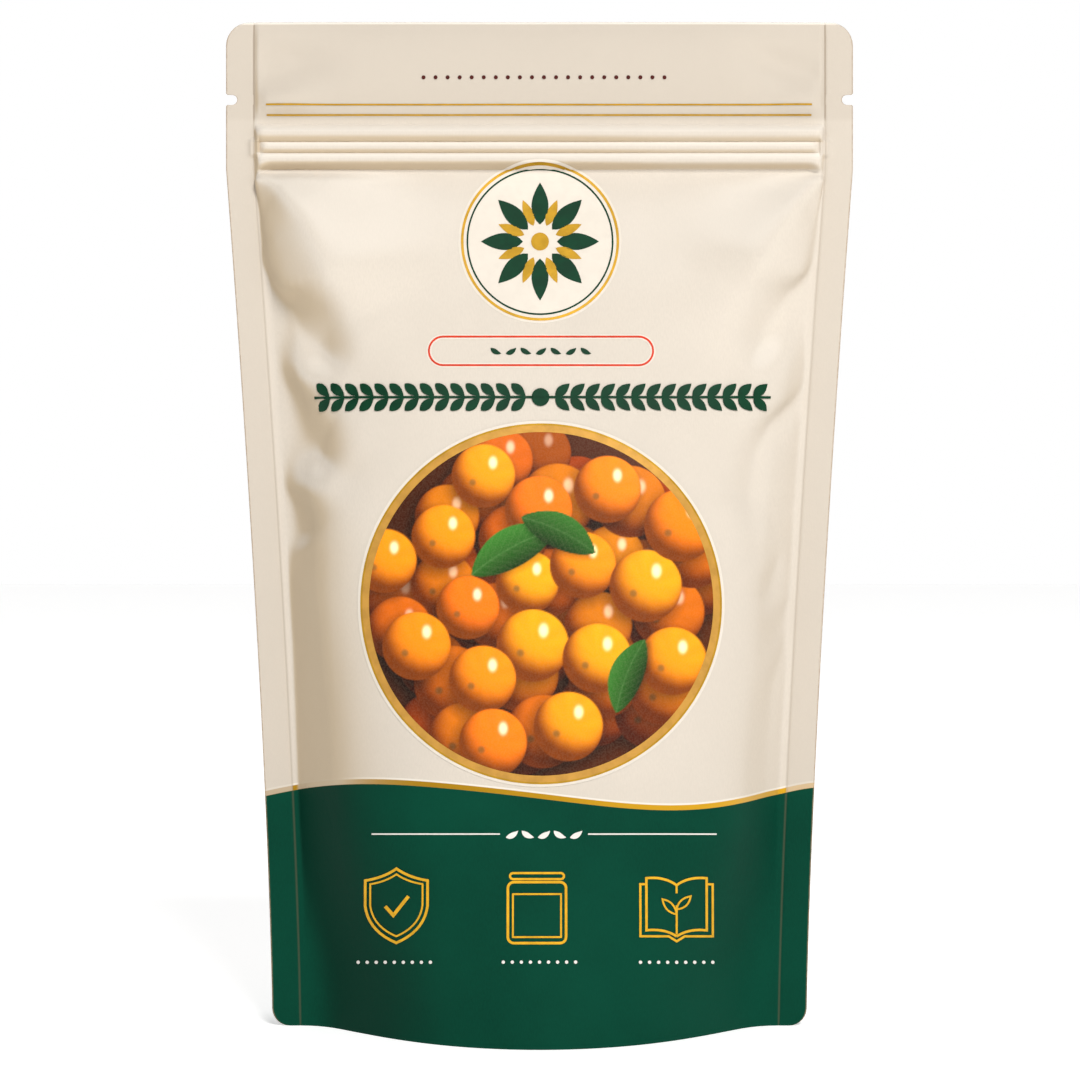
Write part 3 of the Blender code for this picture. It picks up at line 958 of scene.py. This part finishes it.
def film_material(name, mirrored=False):
    """Satin film with a fine diagonal grain: cream above a gold wave and green below it."""
    net = Net(name, Specular_IOR_Level=0.04)
    art = net.stored("print_place", "Vector")
    across, height, _ = net.parts(art)
    if mirrored:
        across = -across
    above = above_wave(across, height)
    place = net.place()
    mottle = net.noise(place, MOTTLE, 4.0)
    slant = {0: art, "Rotation": (0, 0, FIBRE_TURN), "Scale": (1.0, FIBRE_STRETCH, 1.0)}
    fibre = net.noise(net.add("ShaderNodeMapping", {}, slant), FIBRES, 2.0, 0.6)
    speck = net.noise(place, SPECKS, 2.0)
    mottled, streaked = net.smooth(mottle, 0.3, 0.7), net.smooth(fibre, 0.32, 0.68)
    cream = net.mixed(mottled, toned(CREAM, 0.972), toned(CREAM, 1.018))
    cream = net.mixed(streaked * 0.5, cream, toned(CREAM, 0.93))
    green = net.mixed(mottled, toned(GREEN, 0.88), toned(GREEN, 1.12))
    green = net.mixed(streaked * 0.3, green, toned(GREEN, 1.35))

    # The wave, in millimetres above and below it
    is_green = net.smooth(above, -0.46, -0.54)
    is_gold = net.smooth(abs(above), 0.56, 0.48)
    is_pale = net.smooth(abs(above - 0.72), 0.24, 0.16)
    is_cream = 1 - is_green
    colour = net.mixed(is_pale * 0.8, cream, PALE_LINE)
    colour = net.mixed(is_green, colour, green)
    colour = net.mixed(is_gold, colour, net.mixed(net.smooth(across, -0.03, 0.05), *WAVE_GOLD))

    # Painted shade over the header and the cream seals, then painted shade and light of the folds
    from_seal = net.stored("from_seal")
    seal = net.smooth(from_seal, 0.0001, -0.0001)
    header_area = net.smooth(height, ZIP_TOP_SEEN + 0.0004, ZIP_TOP_SEEN + 0.0018)
    # Painted shade: the header darkened, and the cream seals somewhat less
    colour = net.mixed(header_area * 0.95 + seal * is_cream * (1 - header_area) * 0.6, colour, SHADED_HEADER_AND_SEAL_CREAM)
    turned = net.stored("leaning")
    deep = net.smooth(turned, 0.03, 0.36)
    crown = net.smooth(turned, -0.03, -0.19) * 0.48 + net.smooth(turned, -0.20, -0.34) * 0.52
    colour = net.mixed(deep * is_cream * 0.95, colour, SHADED_CREAM)
    colour = net.mixed(deep * is_green * 0.8, colour, toned(GREEN, 0.6))
    colour = net.mixed(crown * is_cream * (1 - header_area), colour, SUNLIT_CREAM)

    # Painted shade in the seal line's groove, a painted highlight along the top edge, and the worn cut edges
    line = net.smooth(abs(from_seal + 0.00002), 0.0004, 0.0)
    # Painted shade in the groove along the seal line, darker over the header
    colour = net.mixed(line * (0.25 + 0.35 * header_area), colour, SEAL_GROOVE_SHADE)
    _, _, up = net.parts(place)
    # Painted highlight: a pale band along the film's top edge
    top_highlight = net.smooth(up, HEIGHT - 0.0006, HEIGHT - 0.00025)
    colour = net.mixed(top_highlight * 0.8, colour, TOP_EDGE_HIGHLIGHT)
    cut = net.smooth(net.stored("from_cut"), 0.00034, 0.00012)
    rubbed = net.smooth(net.noise(place, RUBBING), 0.35, 0.65)
    colour = net.mixed(cut * (0.45 + 0.35 * rubbed), colour, CUT_EDGE)

    rough = 0.46 + mottle * 0.08 + fibre * 0.06 - is_gold * 0.16 + cut * 0.1
    normal = net.bump(fibre * 0.7 + speck * 0.3, 0.28, 0.00009)
    normal = net.bump(net.noise(place, BUCKLES), 0.22, 0.0006, normal)
    return net.wear(Base_Color=colour, Roughness=rough, Normal=normal, Metallic=is_gold * 0.25)


def print_material(name, colour, shine=0.38, metal=0.0, spread=0.10):
    """A thin printed layer: flat colour with a faint uneven lay-down and the film's grain."""
    net = Net(name, Specular_IOR_Level=0.12)
    place = net.place()
    lay = net.noise(place, LAY_DOWN)
    shade = net.mixed(net.smooth(lay, 0.3, 0.7), toned(colour, 1 - spread), toned(colour, 1 + spread))
    grain = net.noise(place, SPECKS, 2.0)
    rough = shine + lay * 0.10
    shining = lay * 0.02 + metal
    return net.wear(Base_Color=shade, Roughness=rough, Normal=net.bump(grain, 0.2, 0.00006), Metallic=shining)


def picture_material():
    """The fruit picture's stored colours under fine printing dots and a thin coat."""
    net = Net("fruit_picture_print", Specular_IOR_Level=0.12, Coat_Roughness=0.3)
    dots = net.noise(net.place(), SCREEN_DOTS, 1.0)
    colour = net.stored("print_colour", "Color")
    colour = net.mixed(net.smooth(dots, 0.35, 0.65) * 0.02, colour, (0.9, 0.75, 0.5))
    coat = dots * 0.02 + 0.01
    grain = net.bump(dots, 0.15, 0.00005)
    return net.wear(Base_Color=colour, Roughness=0.36 + dots * 0.1, Coat_Weight=coat, Normal=grain)


def zipper_material():
    """Milky plastic with flow lines along the strip."""
    net = Net("zipper_clear_white", Specular_IOR_Level=0.5)
    drawn_out = net.add("ShaderNodeMapping", {}, {0: net.place(), "Scale": (0.05, 1.0, 1.0)})
    flow = net.noise(drawn_out, FLOW)
    colour = net.mixed(net.smooth(flow, 0.3, 0.7), (0.74, 0.73, 0.69), (0.84, 0.83, 0.79))
    return net.wear(Base_Color=colour, Roughness=0.3 + flow * 0.15, Normal=net.bump(flow, 0.3, 0.00008))


def seed_material():
    """Close cells of tan and brown, each a seed, with painted shade in the gaps between them and husk grain.
    """
    net = Net("tan_seeds", Specular_IOR_Level=0.35)
    place = net.place()
    cells = net.add("ShaderNodeTexVoronoi", {}, {"Vector": place, "Scale": SEEDS}, "Distance")
    tone = net.add("ShaderNodeTexVoronoi", {}, {"Vector": place, "Scale": SEEDS}, "Color")
    husk = net.noise(place, HUSKS)
    red, _, _ = net.parts(tone)
    colour = net.mixed(red, (0.30, 0.17, 0.06), (0.66, 0.46, 0.20))
    # Painted shade: dark in the gaps between the seeds
    colour = net.mixed(net.smooth(cells, 0.35, 0.75), colour, (0.10, 0.05, 0.02))
    normal = net.bump(husk, 0.3, 0.0001, net.bump(1 - cells, 0.9, 0.0014))
    return net.wear(Base_Color=colour, Roughness=0.62 + husk * 0.15, Normal=normal)


def floor_material():
    """A papered floor with painted light: it glows white, also behind the pouch where the lamp's shadow
    falls, and less so close in front of the pouch.
    """
    net = Net("pale_floor", Roughness=0.8, Specular_IOR_Level=0.1, Emission_Strength=1.0)
    place = net.place()
    tone = net.noise(place, 3.0, 2.0)
    away = net.add("ShaderNodeVectorMath", {"operation": "LENGTH"}, {0: place}, "Value")
    _, behind, _ = net.parts(place)
    # Painted light: the floor behind the pouch glows, which washes out the lamp's shadow there
    glow_behind = net.smooth(behind, -0.004, 0.022)
    glow = net.smooth(away, 0.02, 0.34) * (1 - glow_behind) + glow_behind * 0.93
    return net.wear(Base_Color=net.mixed(tone, (0.90, 0.895, 0.88), (0.93, 0.925, 0.91)),
                    Emission_Color=net.mixed(glow, (0.45, 0.45, 0.455), (0.80, 0.80, 0.80)))


# Shapes of the print, each as picture points and faces

def stripe(points, width, closed=False, step=STEP):
    """A line drawn at this width along a path of straight runs.

    The path is cut into short steps; each gets two points, half a width to either side.
    """
    path = np.array(points, float)
    if closed:
        path = np.concatenate([path, path[:1]])
    run = np.append(0, np.cumsum(np.linalg.norm(np.diff(path, axis=0), axis=1)))
    count = max(3, int(run[-1] / step) + 1)
    t = np.unique(np.concatenate([np.linspace(0, run[-1], count), run]))
    line = np.stack([np.interp(t, run, path[:, 0]), np.interp(t, run, path[:, 1])], axis=-1)
    if closed:
        line = line[:-1]
        ahead, behind = np.roll(line, -1, axis=0), np.roll(line, 1, axis=0)
    else:
        ahead, behind = np.concatenate([line[1:], line[-1:]]), np.concatenate([line[:1], line[:-1]])
    first, second = unit(line - behind), unit(ahead - line)
    heading = unit(first + second)
    turn = np.clip((first * heading).sum(axis=1), 0.5, 1)
    turn = np.where(np.linalg.norm(first, axis=1) < 0.5, 1.0, turn)
    across = np.stack([-heading[:, 1], heading[:, 0]], axis=-1) * (width / 2 / turn)[:, None]
    both = np.stack([line - across, line + across], axis=1).reshape(-1, 2)
    n = len(line)
    i = np.arange(n if closed else n - 1)
    j = (i + 1) % n
    return both, np.stack([2 * i, 2 * j, 2 * j + 1, 2 * i + 1], axis=-1)


def patch(centre_line, half_widths):
    """A filled shape: a centre line with a half width at each point."""
    line = np.array(centre_line, float)
    heading = unit(np.gradient(line, axis=0))
    across = np.stack([-heading[:, 1], heading[:, 0]], axis=-1) * half_widths[:, None]
    shape = np.stack([line - across, line, line + across], axis=1).reshape(-1, 2)
    return shape, grid_faces(len(line), 3)


def dot(x, y, radius, sides=20):
    """A filled round dot."""
    t = np.linspace(0, math.pi, sides // 2 + 1)
    line = np.stack([np.full_like(t, x), y + radius * np.cos(t)], axis=-1)
    return patch(line, np.maximum(radius * np.sin(t), HAIR))


def leaf(x, y, length, width, angle, bend=0.0):
    """A pointed oval about a bowed centre line."""
    t = np.linspace(0, 1, LEAF_POINTS)
    along, off = (t - 0.5) * length, bend * length * 4 * t * (1 - t)
    c, s = math.cos(angle), math.sin(angle)
    line = np.stack([x + along * c - off * s, y + along * s + off * c], axis=-1)
    return patch(line, np.maximum(width / 2 * np.sin(math.pi * t**0.85) ** 0.9, HAIR))


def ring(middle, radius, width):
    """A circle drawn at this width."""
    t = np.linspace(0, 2 * math.pi, RING_POINTS, endpoint=False)
    path = np.stack([middle[0] + radius * np.cos(t), middle[1] + radius * np.sin(t)], axis=-1)
    return stripe(path, width, True, RING_STEP)


def disc(count):
    """A square grid drawn to a disc of radius 1 by x sqrt(1 - y y / 2), y sqrt(1 - x x / 2)."""
    side = np.linspace(-1, 1, count)
    a, b = np.meshgrid(side, side)
    return a * np.sqrt(1 - b * b / 2), b * np.sqrt(1 - a * a / 2)


def arc(x, y, radius, start, stop, count):
    """Path of a round stretch, from and to these degrees."""
    t = np.radians(np.linspace(start, stop, count))
    return [(x + radius * math.cos(a), y + radius * math.sin(a)) for a in t]


def rounded(left, right, top, base, radius, count):
    """Path of a rounded oblong, by the middles of its corner arcs."""
    path = []
    for x, y, start in ((left, top, 180), (right, top, 270), (right, base, 0), (left, base, 90)):
        path += arc(x, y, radius, start, start + 90, count)
    return path


def pill(left, right, top, base):
    """Path of an oblong with half-round ends."""
    r = (base - top) / 2
    y = (base + top) / 2
    return arc(left + r, y, r, 90, 270, PILL_POINTS) + arc(right - r, y, r, -90, 90, PILL_POINTS)


def quadratic(a, b, c):
    """Path of a curve from a to c, drawn toward b."""
    t = np.linspace(0, 1, CURVE_POINTS)[:, None]
    a, b, c = np.array(a, float), np.array(b, float), np.array(c, float)
    return [tuple(p) for p in (1 - t) ** 2 * a + 2 * t * (1 - t) * b + t**2 * c]


def gathered(shapes):
    """Joins shapes into one."""
    points, faces, start = [], [], 0
    for shape, quads in shapes:
        points.append(shape)
        faces.append(quads + start)
        start += len(shape)
    return np.concatenate(points), np.concatenate(faces)


def print_piece(name, shapes, material, lift=LIFT, side=-1):
    """A printed layer: shapes laid on the front or back film, lifted a hair off it.

    A face whose corners run the other way round, by the sign of its area, is turned about.
    """
    points, faces = gathered(shapes)
    x, y = points[:, 0][faces], points[:, 1][faces]
    turned = ((x * np.roll(y, -1, axis=1) - np.roll(x, -1, axis=1) * y).sum(axis=1) > 0)[:, None]
    faces = np.where(turned, faces[:, ::-1], faces)
    places = laid_on(points[:, 0], points[:, 1], lift, side)
    thickened(mesh_piece(name, places, faces, material, smooth=False), INK, 1.0)


def moved(path, middle):
    """A path given from a middle, in picture points."""
    return [(middle[0] + x, middle[1] + y) for x, y in path]


def mirrored_path(path):
    """A path with its left and right changed over, run backwards."""
    return [(-x, y) for x, y in reversed(path)]


def shield(width, height):
    """Path of a pointed shield about its own middle: its left half, then that half mirrored."""
    top, base = -height / 2, height / 2
    left = quadratic((0, top), (-width * 0.2, top + height * 0.12), (-width / 2, top + height * 0.16))
    left += quadratic((-width / 2, top + height * 0.5), (-width * 0.45, base - height * 0.16), (0, base))
    return left + mirrored_path(left[1:-1])


def pictograms():
    """Line pictograms with double outlines: a shield with a tick, a lidded jar, an open book."""
    lines = [(SHIELD, shield(*SHIELD_OUTSIDE), OUTER_LINE, True)]
    inner_middle = (SHIELD[0], SHIELD[1] - SHIELD_INSIDE_LIFT)
    lines.append((inner_middle, shield(*SHIELD_INSIDE), INNER_LINE, True))
    lines.append((SHIELD, TICK, TICK_WIDTH, False))

    lines.append((JAR, rounded(*JAR_OUTSIDE), OUTER_LINE, True))
    lines.append((JAR, JAR_INSIDE, INNER_LINE, True))
    lid = arc(-LID_HALF, LID_ROW, LID_RADIUS, 90, 270, LID_POINTS)
    lid += arc(LID_HALF, LID_ROW, LID_RADIUS, -90, 90, LID_POINTS)
    lines.append((JAR, lid, LID_WIDTH, True))

    page = quadratic(*PAGE_TOP) + quadratic(*PAGE_FOOT)
    lines.append((BOOK, page, PAGE_WIDTH, False))
    lines.append((BOOK, mirrored_path(page), PAGE_WIDTH, False))
    lines.append((BOOK, BOOK_SPINE, STEM_WIDTH, False))
    lines.append((BOOK, [*HALF_COVER, COVER_FOOT, *mirrored_path(HALF_COVER)], COVER_WIDTH, False))
    lines.append((BOOK, SPROUT_STEM, STEM_WIDTH, False))
    for there, back in (LOW_LEAF, HIGH_LEAF):
        lines.append((BOOK, quadratic(*there) + quadratic(*back), INNER_LINE, False))
    return [stripe(moved(path, middle), width, closed) for middle, path, width, closed in lines]


def rosette_petals(turned, away, length, width):
    """Eight pointed petals about the roundel's middle, turned by a share of the space between two."""
    turns = (np.arange(8) + turned) * math.pi / 4
    x, y = ROUNDEL
    return [leaf(x + away * math.cos(a), y + away * math.sin(a), length, width, a) for a in turns]


# The painted fruit picture

FRUIT_LAYERS = ((22, 0.20, 0.34), (19, 0.20, 0.66), (17, 0.195, 1.0))
FRUIT_SPREAD = 0.95
FRUIT_ASTRAY = 0.035
GOLDEN_ANGLE = 2.39996
FRUIT_LIGHT = (0.36, 0.52, 0.775)
FRUIT_EDGE = 0.007
FRUIT_DEEP = np.array([0.62, 0.115, 0.002])
GLOSS = np.array([1.0, 0.90, 0.66])
SCAR = np.array([0.75, 0.42, 0.10])
LEAF_GREEN = np.array([0.035, 0.17, 0.018])
VEIN_GREEN = np.array([0.6, 1.0, 0.4])
PICTURE_LEAVES = (
    ((-0.16, 0.30), 0.56, 0.24, 0.5, 1.0),
    ((0.10, 0.40), 0.48, 0.21, -0.45, 0.8),
    ((0.52, -0.42), 0.46, 0.20, 1.2, 0.9),
)
PICTURE_DIM = 0.86
PICTURE_ROWS = 281


def painted_ball(shade, x, y, place, radius, ripe, dim):
    """Lays one lit ball over the picture: its height is the root of one less its distance squared."""
    dx, dy = (x - place[0]) / radius, (y - place[1]) / radius
    far = np.hypot(dx, dy)
    inside = np.clip((1 - far) * radius / FRUIT_EDGE + 0.5, 0, 1)[..., None]
    up = np.sqrt(np.clip(1 - far**2, 0, 1))
    lit = np.clip(dx * FRUIT_LIGHT[0] + dy * FRUIT_LIGHT[1] + up * FRUIT_LIGHT[2], 0, 1)
    sunny = np.array([1.0, 0.39 - 0.21 * ripe, 0.004])
    ball = FRUIT_DEEP + (sunny - FRUIT_DEEP) * ease(lit / 0.92)[..., None]
    ball = ball * (0.30 + 0.78 * ease(lit / 0.7) + 0.10 * (1 - up))[..., None]
    streak = 1 + 0.05 * np.sin(9 * np.arctan2(dy, dx) + 3 * ripe) * far
    ball = ball * streak[..., None] * np.array([dim, dim**1.5, dim**1.8])
    gloss = np.exp(-(((dx - 0.30) / 0.13) ** 2 + ((dy - 0.42) / 0.19) ** 2) ** 2)
    ball = ball + (gloss * 0.85 * dim)[..., None] * GLOSS
    scar = np.exp(-(((dx + 0.34) ** 2 + (dy + 0.20) ** 2) / 0.012) ** 2)
    ball = ball * (1 - 0.7 * scar)[..., None] + (0.16 * scar * dim)[..., None] * SCAR
    return shade * (1 - inside) + ball * inside


def painted_leaf(shade, x, y, place, length, wide, angle, tone):
    """Lays one pointed leaf over the picture: a parabola's power to each side of a bowed midrib."""
    c, s = math.cos(angle), math.sin(angle)
    a = ((x - place[0]) * c + (y - place[1]) * s) / (length / 2)
    b = (-(x - place[0]) * s + (y - place[1]) * c) / (wide / 2) - 0.25 * (1 - a**2)
    edge = np.clip(1 - a**2, 0, 1) ** 0.8
    inside = (np.clip((edge - np.abs(b)) / 0.05, 0, 1) * (np.abs(a) < 1))[..., None]
    shadow = np.clip((np.clip(1 - (a - 0.05) ** 2, 0, 1) ** 0.8 - np.abs(b + 0.35)) / 0.5, 0, 1) * 0.6
    vein = bell(b, 0.045) + 0.5 * bell((a - np.abs(b) * 0.55) * 5 % 1.0 - 0.5, 0.09)
    body = LEAF_GREEN * tone * (0.75 + 0.6 * np.clip(b, -1, 1))[..., None]
    body = body + (vein * 0.05)[..., None] * VEIN_GREEN
    return shade * (1 - shadow[..., None]) * (1 - inside) + body * inside


def painted_fruit(x, y):
    """A plain picture of round orange fruits and leaves, for points of a disc of radius 1.

    Fruits lie in three layers, lowest first, each at equal turns of the golden angle and at the
    root of its share of the way out, a little astray.
    """
    shade = np.stack([0.050 + 0.02 * (x + 1), 0.009 + 0.004 * (x + 1), 0.002 + 0 * x], axis=-1)
    draw = np.random.default_rng(11)
    for layer, (count, size, dim) in enumerate(FRUIT_LAYERS):
        k = np.arange(count)
        turn = k * GOLDEN_ANGLE + layer * 1.1
        out = FRUIT_SPREAD * np.sqrt((k + 0.45) / count)
        places = np.stack([out * np.cos(turn), out * np.sin(turn)], -1)
        places = places + draw.uniform(-FRUIT_ASTRAY, FRUIT_ASTRAY, (count, 2))
        radii = size * draw.uniform(0.92, 1.10, count)
        ripeness = draw.uniform(0, 1, count)
        for place, radius in zip(places, radii):
            away = np.hypot(x - place[0] + 0.10 * radius, y - place[1] + 0.16 * radius) / radius
            shade = shade * (1 - 0.6 * np.clip(1 - (away - 0.86) / 0.42, 0, 1))[..., None]
        for place, radius, ripe in zip(places, radii, ripeness):
            shade = painted_ball(shade, x, y, place, radius, ripe, dim)
    for leaf_values in PICTURE_LEAVES:
        shade = painted_leaf(shade, x, y, *leaf_values)
    return PICTURE_DIM * np.clip(shade, 0, 1)


def picture_disc():
    """The round picture: a fine disc with a painted colour at each point."""
    x, y = disc(PICTURE_ROWS)
    px, py = PICTURE[0] + PICTURE_RADIUS * x, PICTURE[1] - PICTURE_RADIUS * y
    places, faces = laid_on(px.ravel(), py.ravel(), PICTURE_LIFT), grid_faces(*x.shape)
    piece = mesh_piece("round_fruit_picture", places, faces, picture_material())
    colours = np.concatenate([painted_fruit(x, y), np.ones((*x.shape, 1))], axis=-1)
    point_values(piece, "print_colour", colours, "FLOAT_COLOR")


# The pouch put together

def films():
    """Both panels and the gusset, and the looks of the zipper and the seeds inside."""
    front_look = film_material("front_film_print")
    back_look = film_material("back_film_print", mirrored=True)
    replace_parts(film_piece("front_film", -1, front_look), "front_panel")
    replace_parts(film_piece("back_film", 1, back_look), "back_panel")
    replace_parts(gusset_piece(front_look), "bottom_gusset")
    strip, seeds = zipper_material(), seed_material()
    for node, look in (("zipper_rib_strip", strip), ("zipper_groove_strip", strip), ("seed_fill", seeds)):
        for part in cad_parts[node].material_slots:
            part.material = look


def garland():
    """A line with a dot in its middle and pairs of leaves to each side."""
    shapes = [stripe([(x, GARLAND_ROW) for x in GARLAND_ENDS], GARLAND_LINE, False, GARLAND_STEP)]
    shapes.append(dot(GARLAND_MIDDLE, GARLAND_ROW, GARLAND_DOT))
    for hand in (-1, 1):
        for k in range(GARLAND_PAIRS):
            x = GARLAND_MIDDLE + hand * (GARLAND_START + k * GARLAND_PITCH)
            for tilt in (-1, 1):
                y = GARLAND_ROW + tilt * GARLAND_OFF
                shapes.append(leaf(x, y, *GARLAND_LEAF, hand * tilt * GARLAND_TILT))
    return shapes


def leaf_row(x, y, pitch, reach, length, width):
    """A row of small leaves, turned one way and the other."""
    places = range(-reach, reach + 1)
    return [leaf(x + k * pitch, y, length, width, 0.5 if k % 2 else -0.5, 0.1) for k in places]


def dot_row(x, y, pitch, reach, radius):
    """A row of dots, this many to each side of the middle one."""
    return [dot(x + k * pitch, y, radius, SMALL_DOT_SIDES) for k in range(-reach, reach + 1)]


def front_and_back_print():
    """The inks, and every printed piece of the front and the back."""
    gold = print_material("gold_print", GOLD, 0.30, 0.25)
    bright = print_material("bright_gold_print", BRIGHT_GOLD, 0.34, 0.1)
    ochre = print_material("ochre_gold_print", OCHRE, 0.34, 0.2)
    green = print_material("dark_green_ink", INK_GREEN, 0.5, 0.0, 0.15)
    red = print_material("red_orange_ink", INK_RED, 0.45)
    brown = print_material("brown_ink", INK_BROWN, 0.5)
    white = print_material("warm_white_ink", INK_WHITE, 0.5, 0.0, 0.04)
    pale = print_material("pale_cream_ink", INK_PALE, 0.5, 0.0, 0.02)

    rules = [stripe([(x, y) for x in RULE_ENDS], RULE_WIDTH, False, RULE_STEP) for y in RULE_ROWS]
    print_piece("gold_rules", rules, gold)
    x, y = disc(ROUNDEL_ROWS)
    under = np.stack([ROUNDEL[0] + ROUNDEL_DISC * x, ROUNDEL[1] + ROUNDEL_DISC * y], -1).reshape(-1, 2)
    print_piece("roundel_pale_disc", [(under, grid_faces(*x.shape))], pale, UNDER_LIFT)
    print_piece("roundel_gold_ring", [ring(ROUNDEL, *ROUNDEL_GOLD)], gold)
    print_piece("roundel_green_ring", [ring(ROUNDEL, *ROUNDEL_GREEN)], green)
    print_piece("rosette_green_petals", rosette_petals(*LARGE_PETALS), green)
    heart = [dot(*ROUNDEL, HEART)]
    print_piece("rosette_gold_petals", rosette_petals(*SMALL_PETALS) + heart, gold)
    print_piece("pill_pale_edge", [stripe(pill(*PILL), PILL_EDGE, True)], pale, UNDER_LIFT)
    print_piece("pill_outline", [stripe(pill(*PILL), PILL_WIDTH, True)], red)
    print_piece("pill_leaf_row", leaf_row(*PILL_LEAVES), green)
    print_piece("leaf_garland", garland(), green, GARLAND_LIFT)
    print_piece("picture_ring", [ring(PICTURE, *PICTURE_GOLD)], ochre, RING_LIFT)
    print_piece("picture_ring_line", [ring(PICTURE, *PICTURE_LINE)], gold, RING_LINE_LIFT)
    print_piece("picture_ring_edge", [ring(PICTURE, *PICTURE_EDGE)], pale, PICTURE_LIFT)
    picture_disc()
    print_piece("gold_pictograms", pictograms(), bright)
    print_piece("header_dots", dot_row(*HEADER_DOTS), brown)
    divider = [stripe([(x, DIVIDER_ROW) for x in run], DIVIDER_WIDTH) for run in DIVIDER_RUNS]
    print_piece("white_divider", divider + leaf_row(*DIVIDER_LEAVES), white)
    print_piece("back_gold_rules", rules, gold, side=1)
    across, down = np.meshgrid(np.linspace(0, 1, BACK_PANEL_COLUMNS), np.linspace(0, 1, BACK_PANEL_ROWS))
    left, top, wide, tall = BACK_PANEL
    blank = np.stack([left + wide * across, top + tall * down], -1).reshape(-1, 2)
    print_piece("back_blank_panel", [(blank, grid_faces(*across.shape))], pale, PANEL_LIFT, 1)
    border = stripe(rounded(*BACK_FRAME, BACK_FRAME_CORNER, CORNER_POINTS), BACK_FRAME_WIDTH, True)
    print_piece("back_panel_frame", [border], green, FRAME_LIFT, 1)
    captions = [spot for x in CAPTION_MIDDLES for spot in dot_row(x, CAPTION_ROW, *CAPTION_DOTS)]
    print_piece("caption_dots", captions, white)


# The studio

def studio_air():
    """White round the horizon, as a papered studio is, and dimmer overhead."""
    world = bpy.data.worlds.new("papered_studio")
    bpy.context.scene.world = world
    world.use_nodes = True
    tree = world.node_tree
    where = tree.nodes.new("ShaderNodeTexCoord")
    parts = tree.nodes.new("ShaderNodeSeparateXYZ")
    share = tree.nodes.new("ShaderNodeMapRange")
    share.interpolation_type = "SMOOTHSTEP"
    for key, value in HORIZON:
        share.inputs[key].default_value = value
    tree.links.new(where.outputs["Generated"], parts.inputs[0])
    tree.links.new(parts.outputs[2], share.inputs["Value"])
    tree.links.new(share.outputs[0], tree.nodes["Background"].inputs[1])
    tree.nodes["Background"].inputs[0].default_value = (1, 1, 1, 1)


def studio_floor():
    """A wide square floor under the pouch."""
    mesh = bpy.data.meshes.new("floor")
    corners = [(x * FLOOR_HALF, y * FLOOR_HALF, 0) for x, y in ((-1, -1), (1, -1), (1, 1), (-1, 1))]
    mesh.from_pydata(corners, [], [(0, 1, 2, 3)])
    mesh.materials.append(floor_material())
    floor = bpy.data.objects.new("floor", mesh)
    bpy.context.scene.collection.objects.link(floor)


def key_lamp():
    """One round lamp, up to the right in front."""
    light = bpy.data.lights.new("key", "AREA")
    light.shape = "DISK"
    light.size = KEY_SIZE
    light.energy = KEY_POWER
    lamp = bpy.data.objects.new("key", light)
    lamp.location = KEY_PLACE
    lamp.rotation_euler = (Vector(KEY_AIM) - Vector(KEY_PLACE)).to_track_quat("-Z", "Y").to_euler()
    bpy.context.scene.collection.objects.link(lamp)


def photographer():
    """The camera, level and straight in front."""
    camera_data = bpy.data.cameras.new("camera")
    camera_data.sensor_width = SENSOR
    camera_data.lens = SENSOR * FOCAL / PICTURE_SIDE
    camera_data.clip_start = 0.01
    camera = bpy.data.objects.new("camera", camera_data)
    camera.location = ((PICTURE_SIDE / 2 - MIDDLE) * PIXEL, -CAMERA_BACK, CAMERA_UP)
    camera.rotation_euler = (math.pi / 2, 0, 0)
    bpy.context.scene.collection.objects.link(camera)
    bpy.context.scene.camera = camera
    bpy.context.scene.view_settings.view_transform = "Standard"


films()
front_and_back_print()
studio_floor()
key_lamp()
studio_air()
photographer()
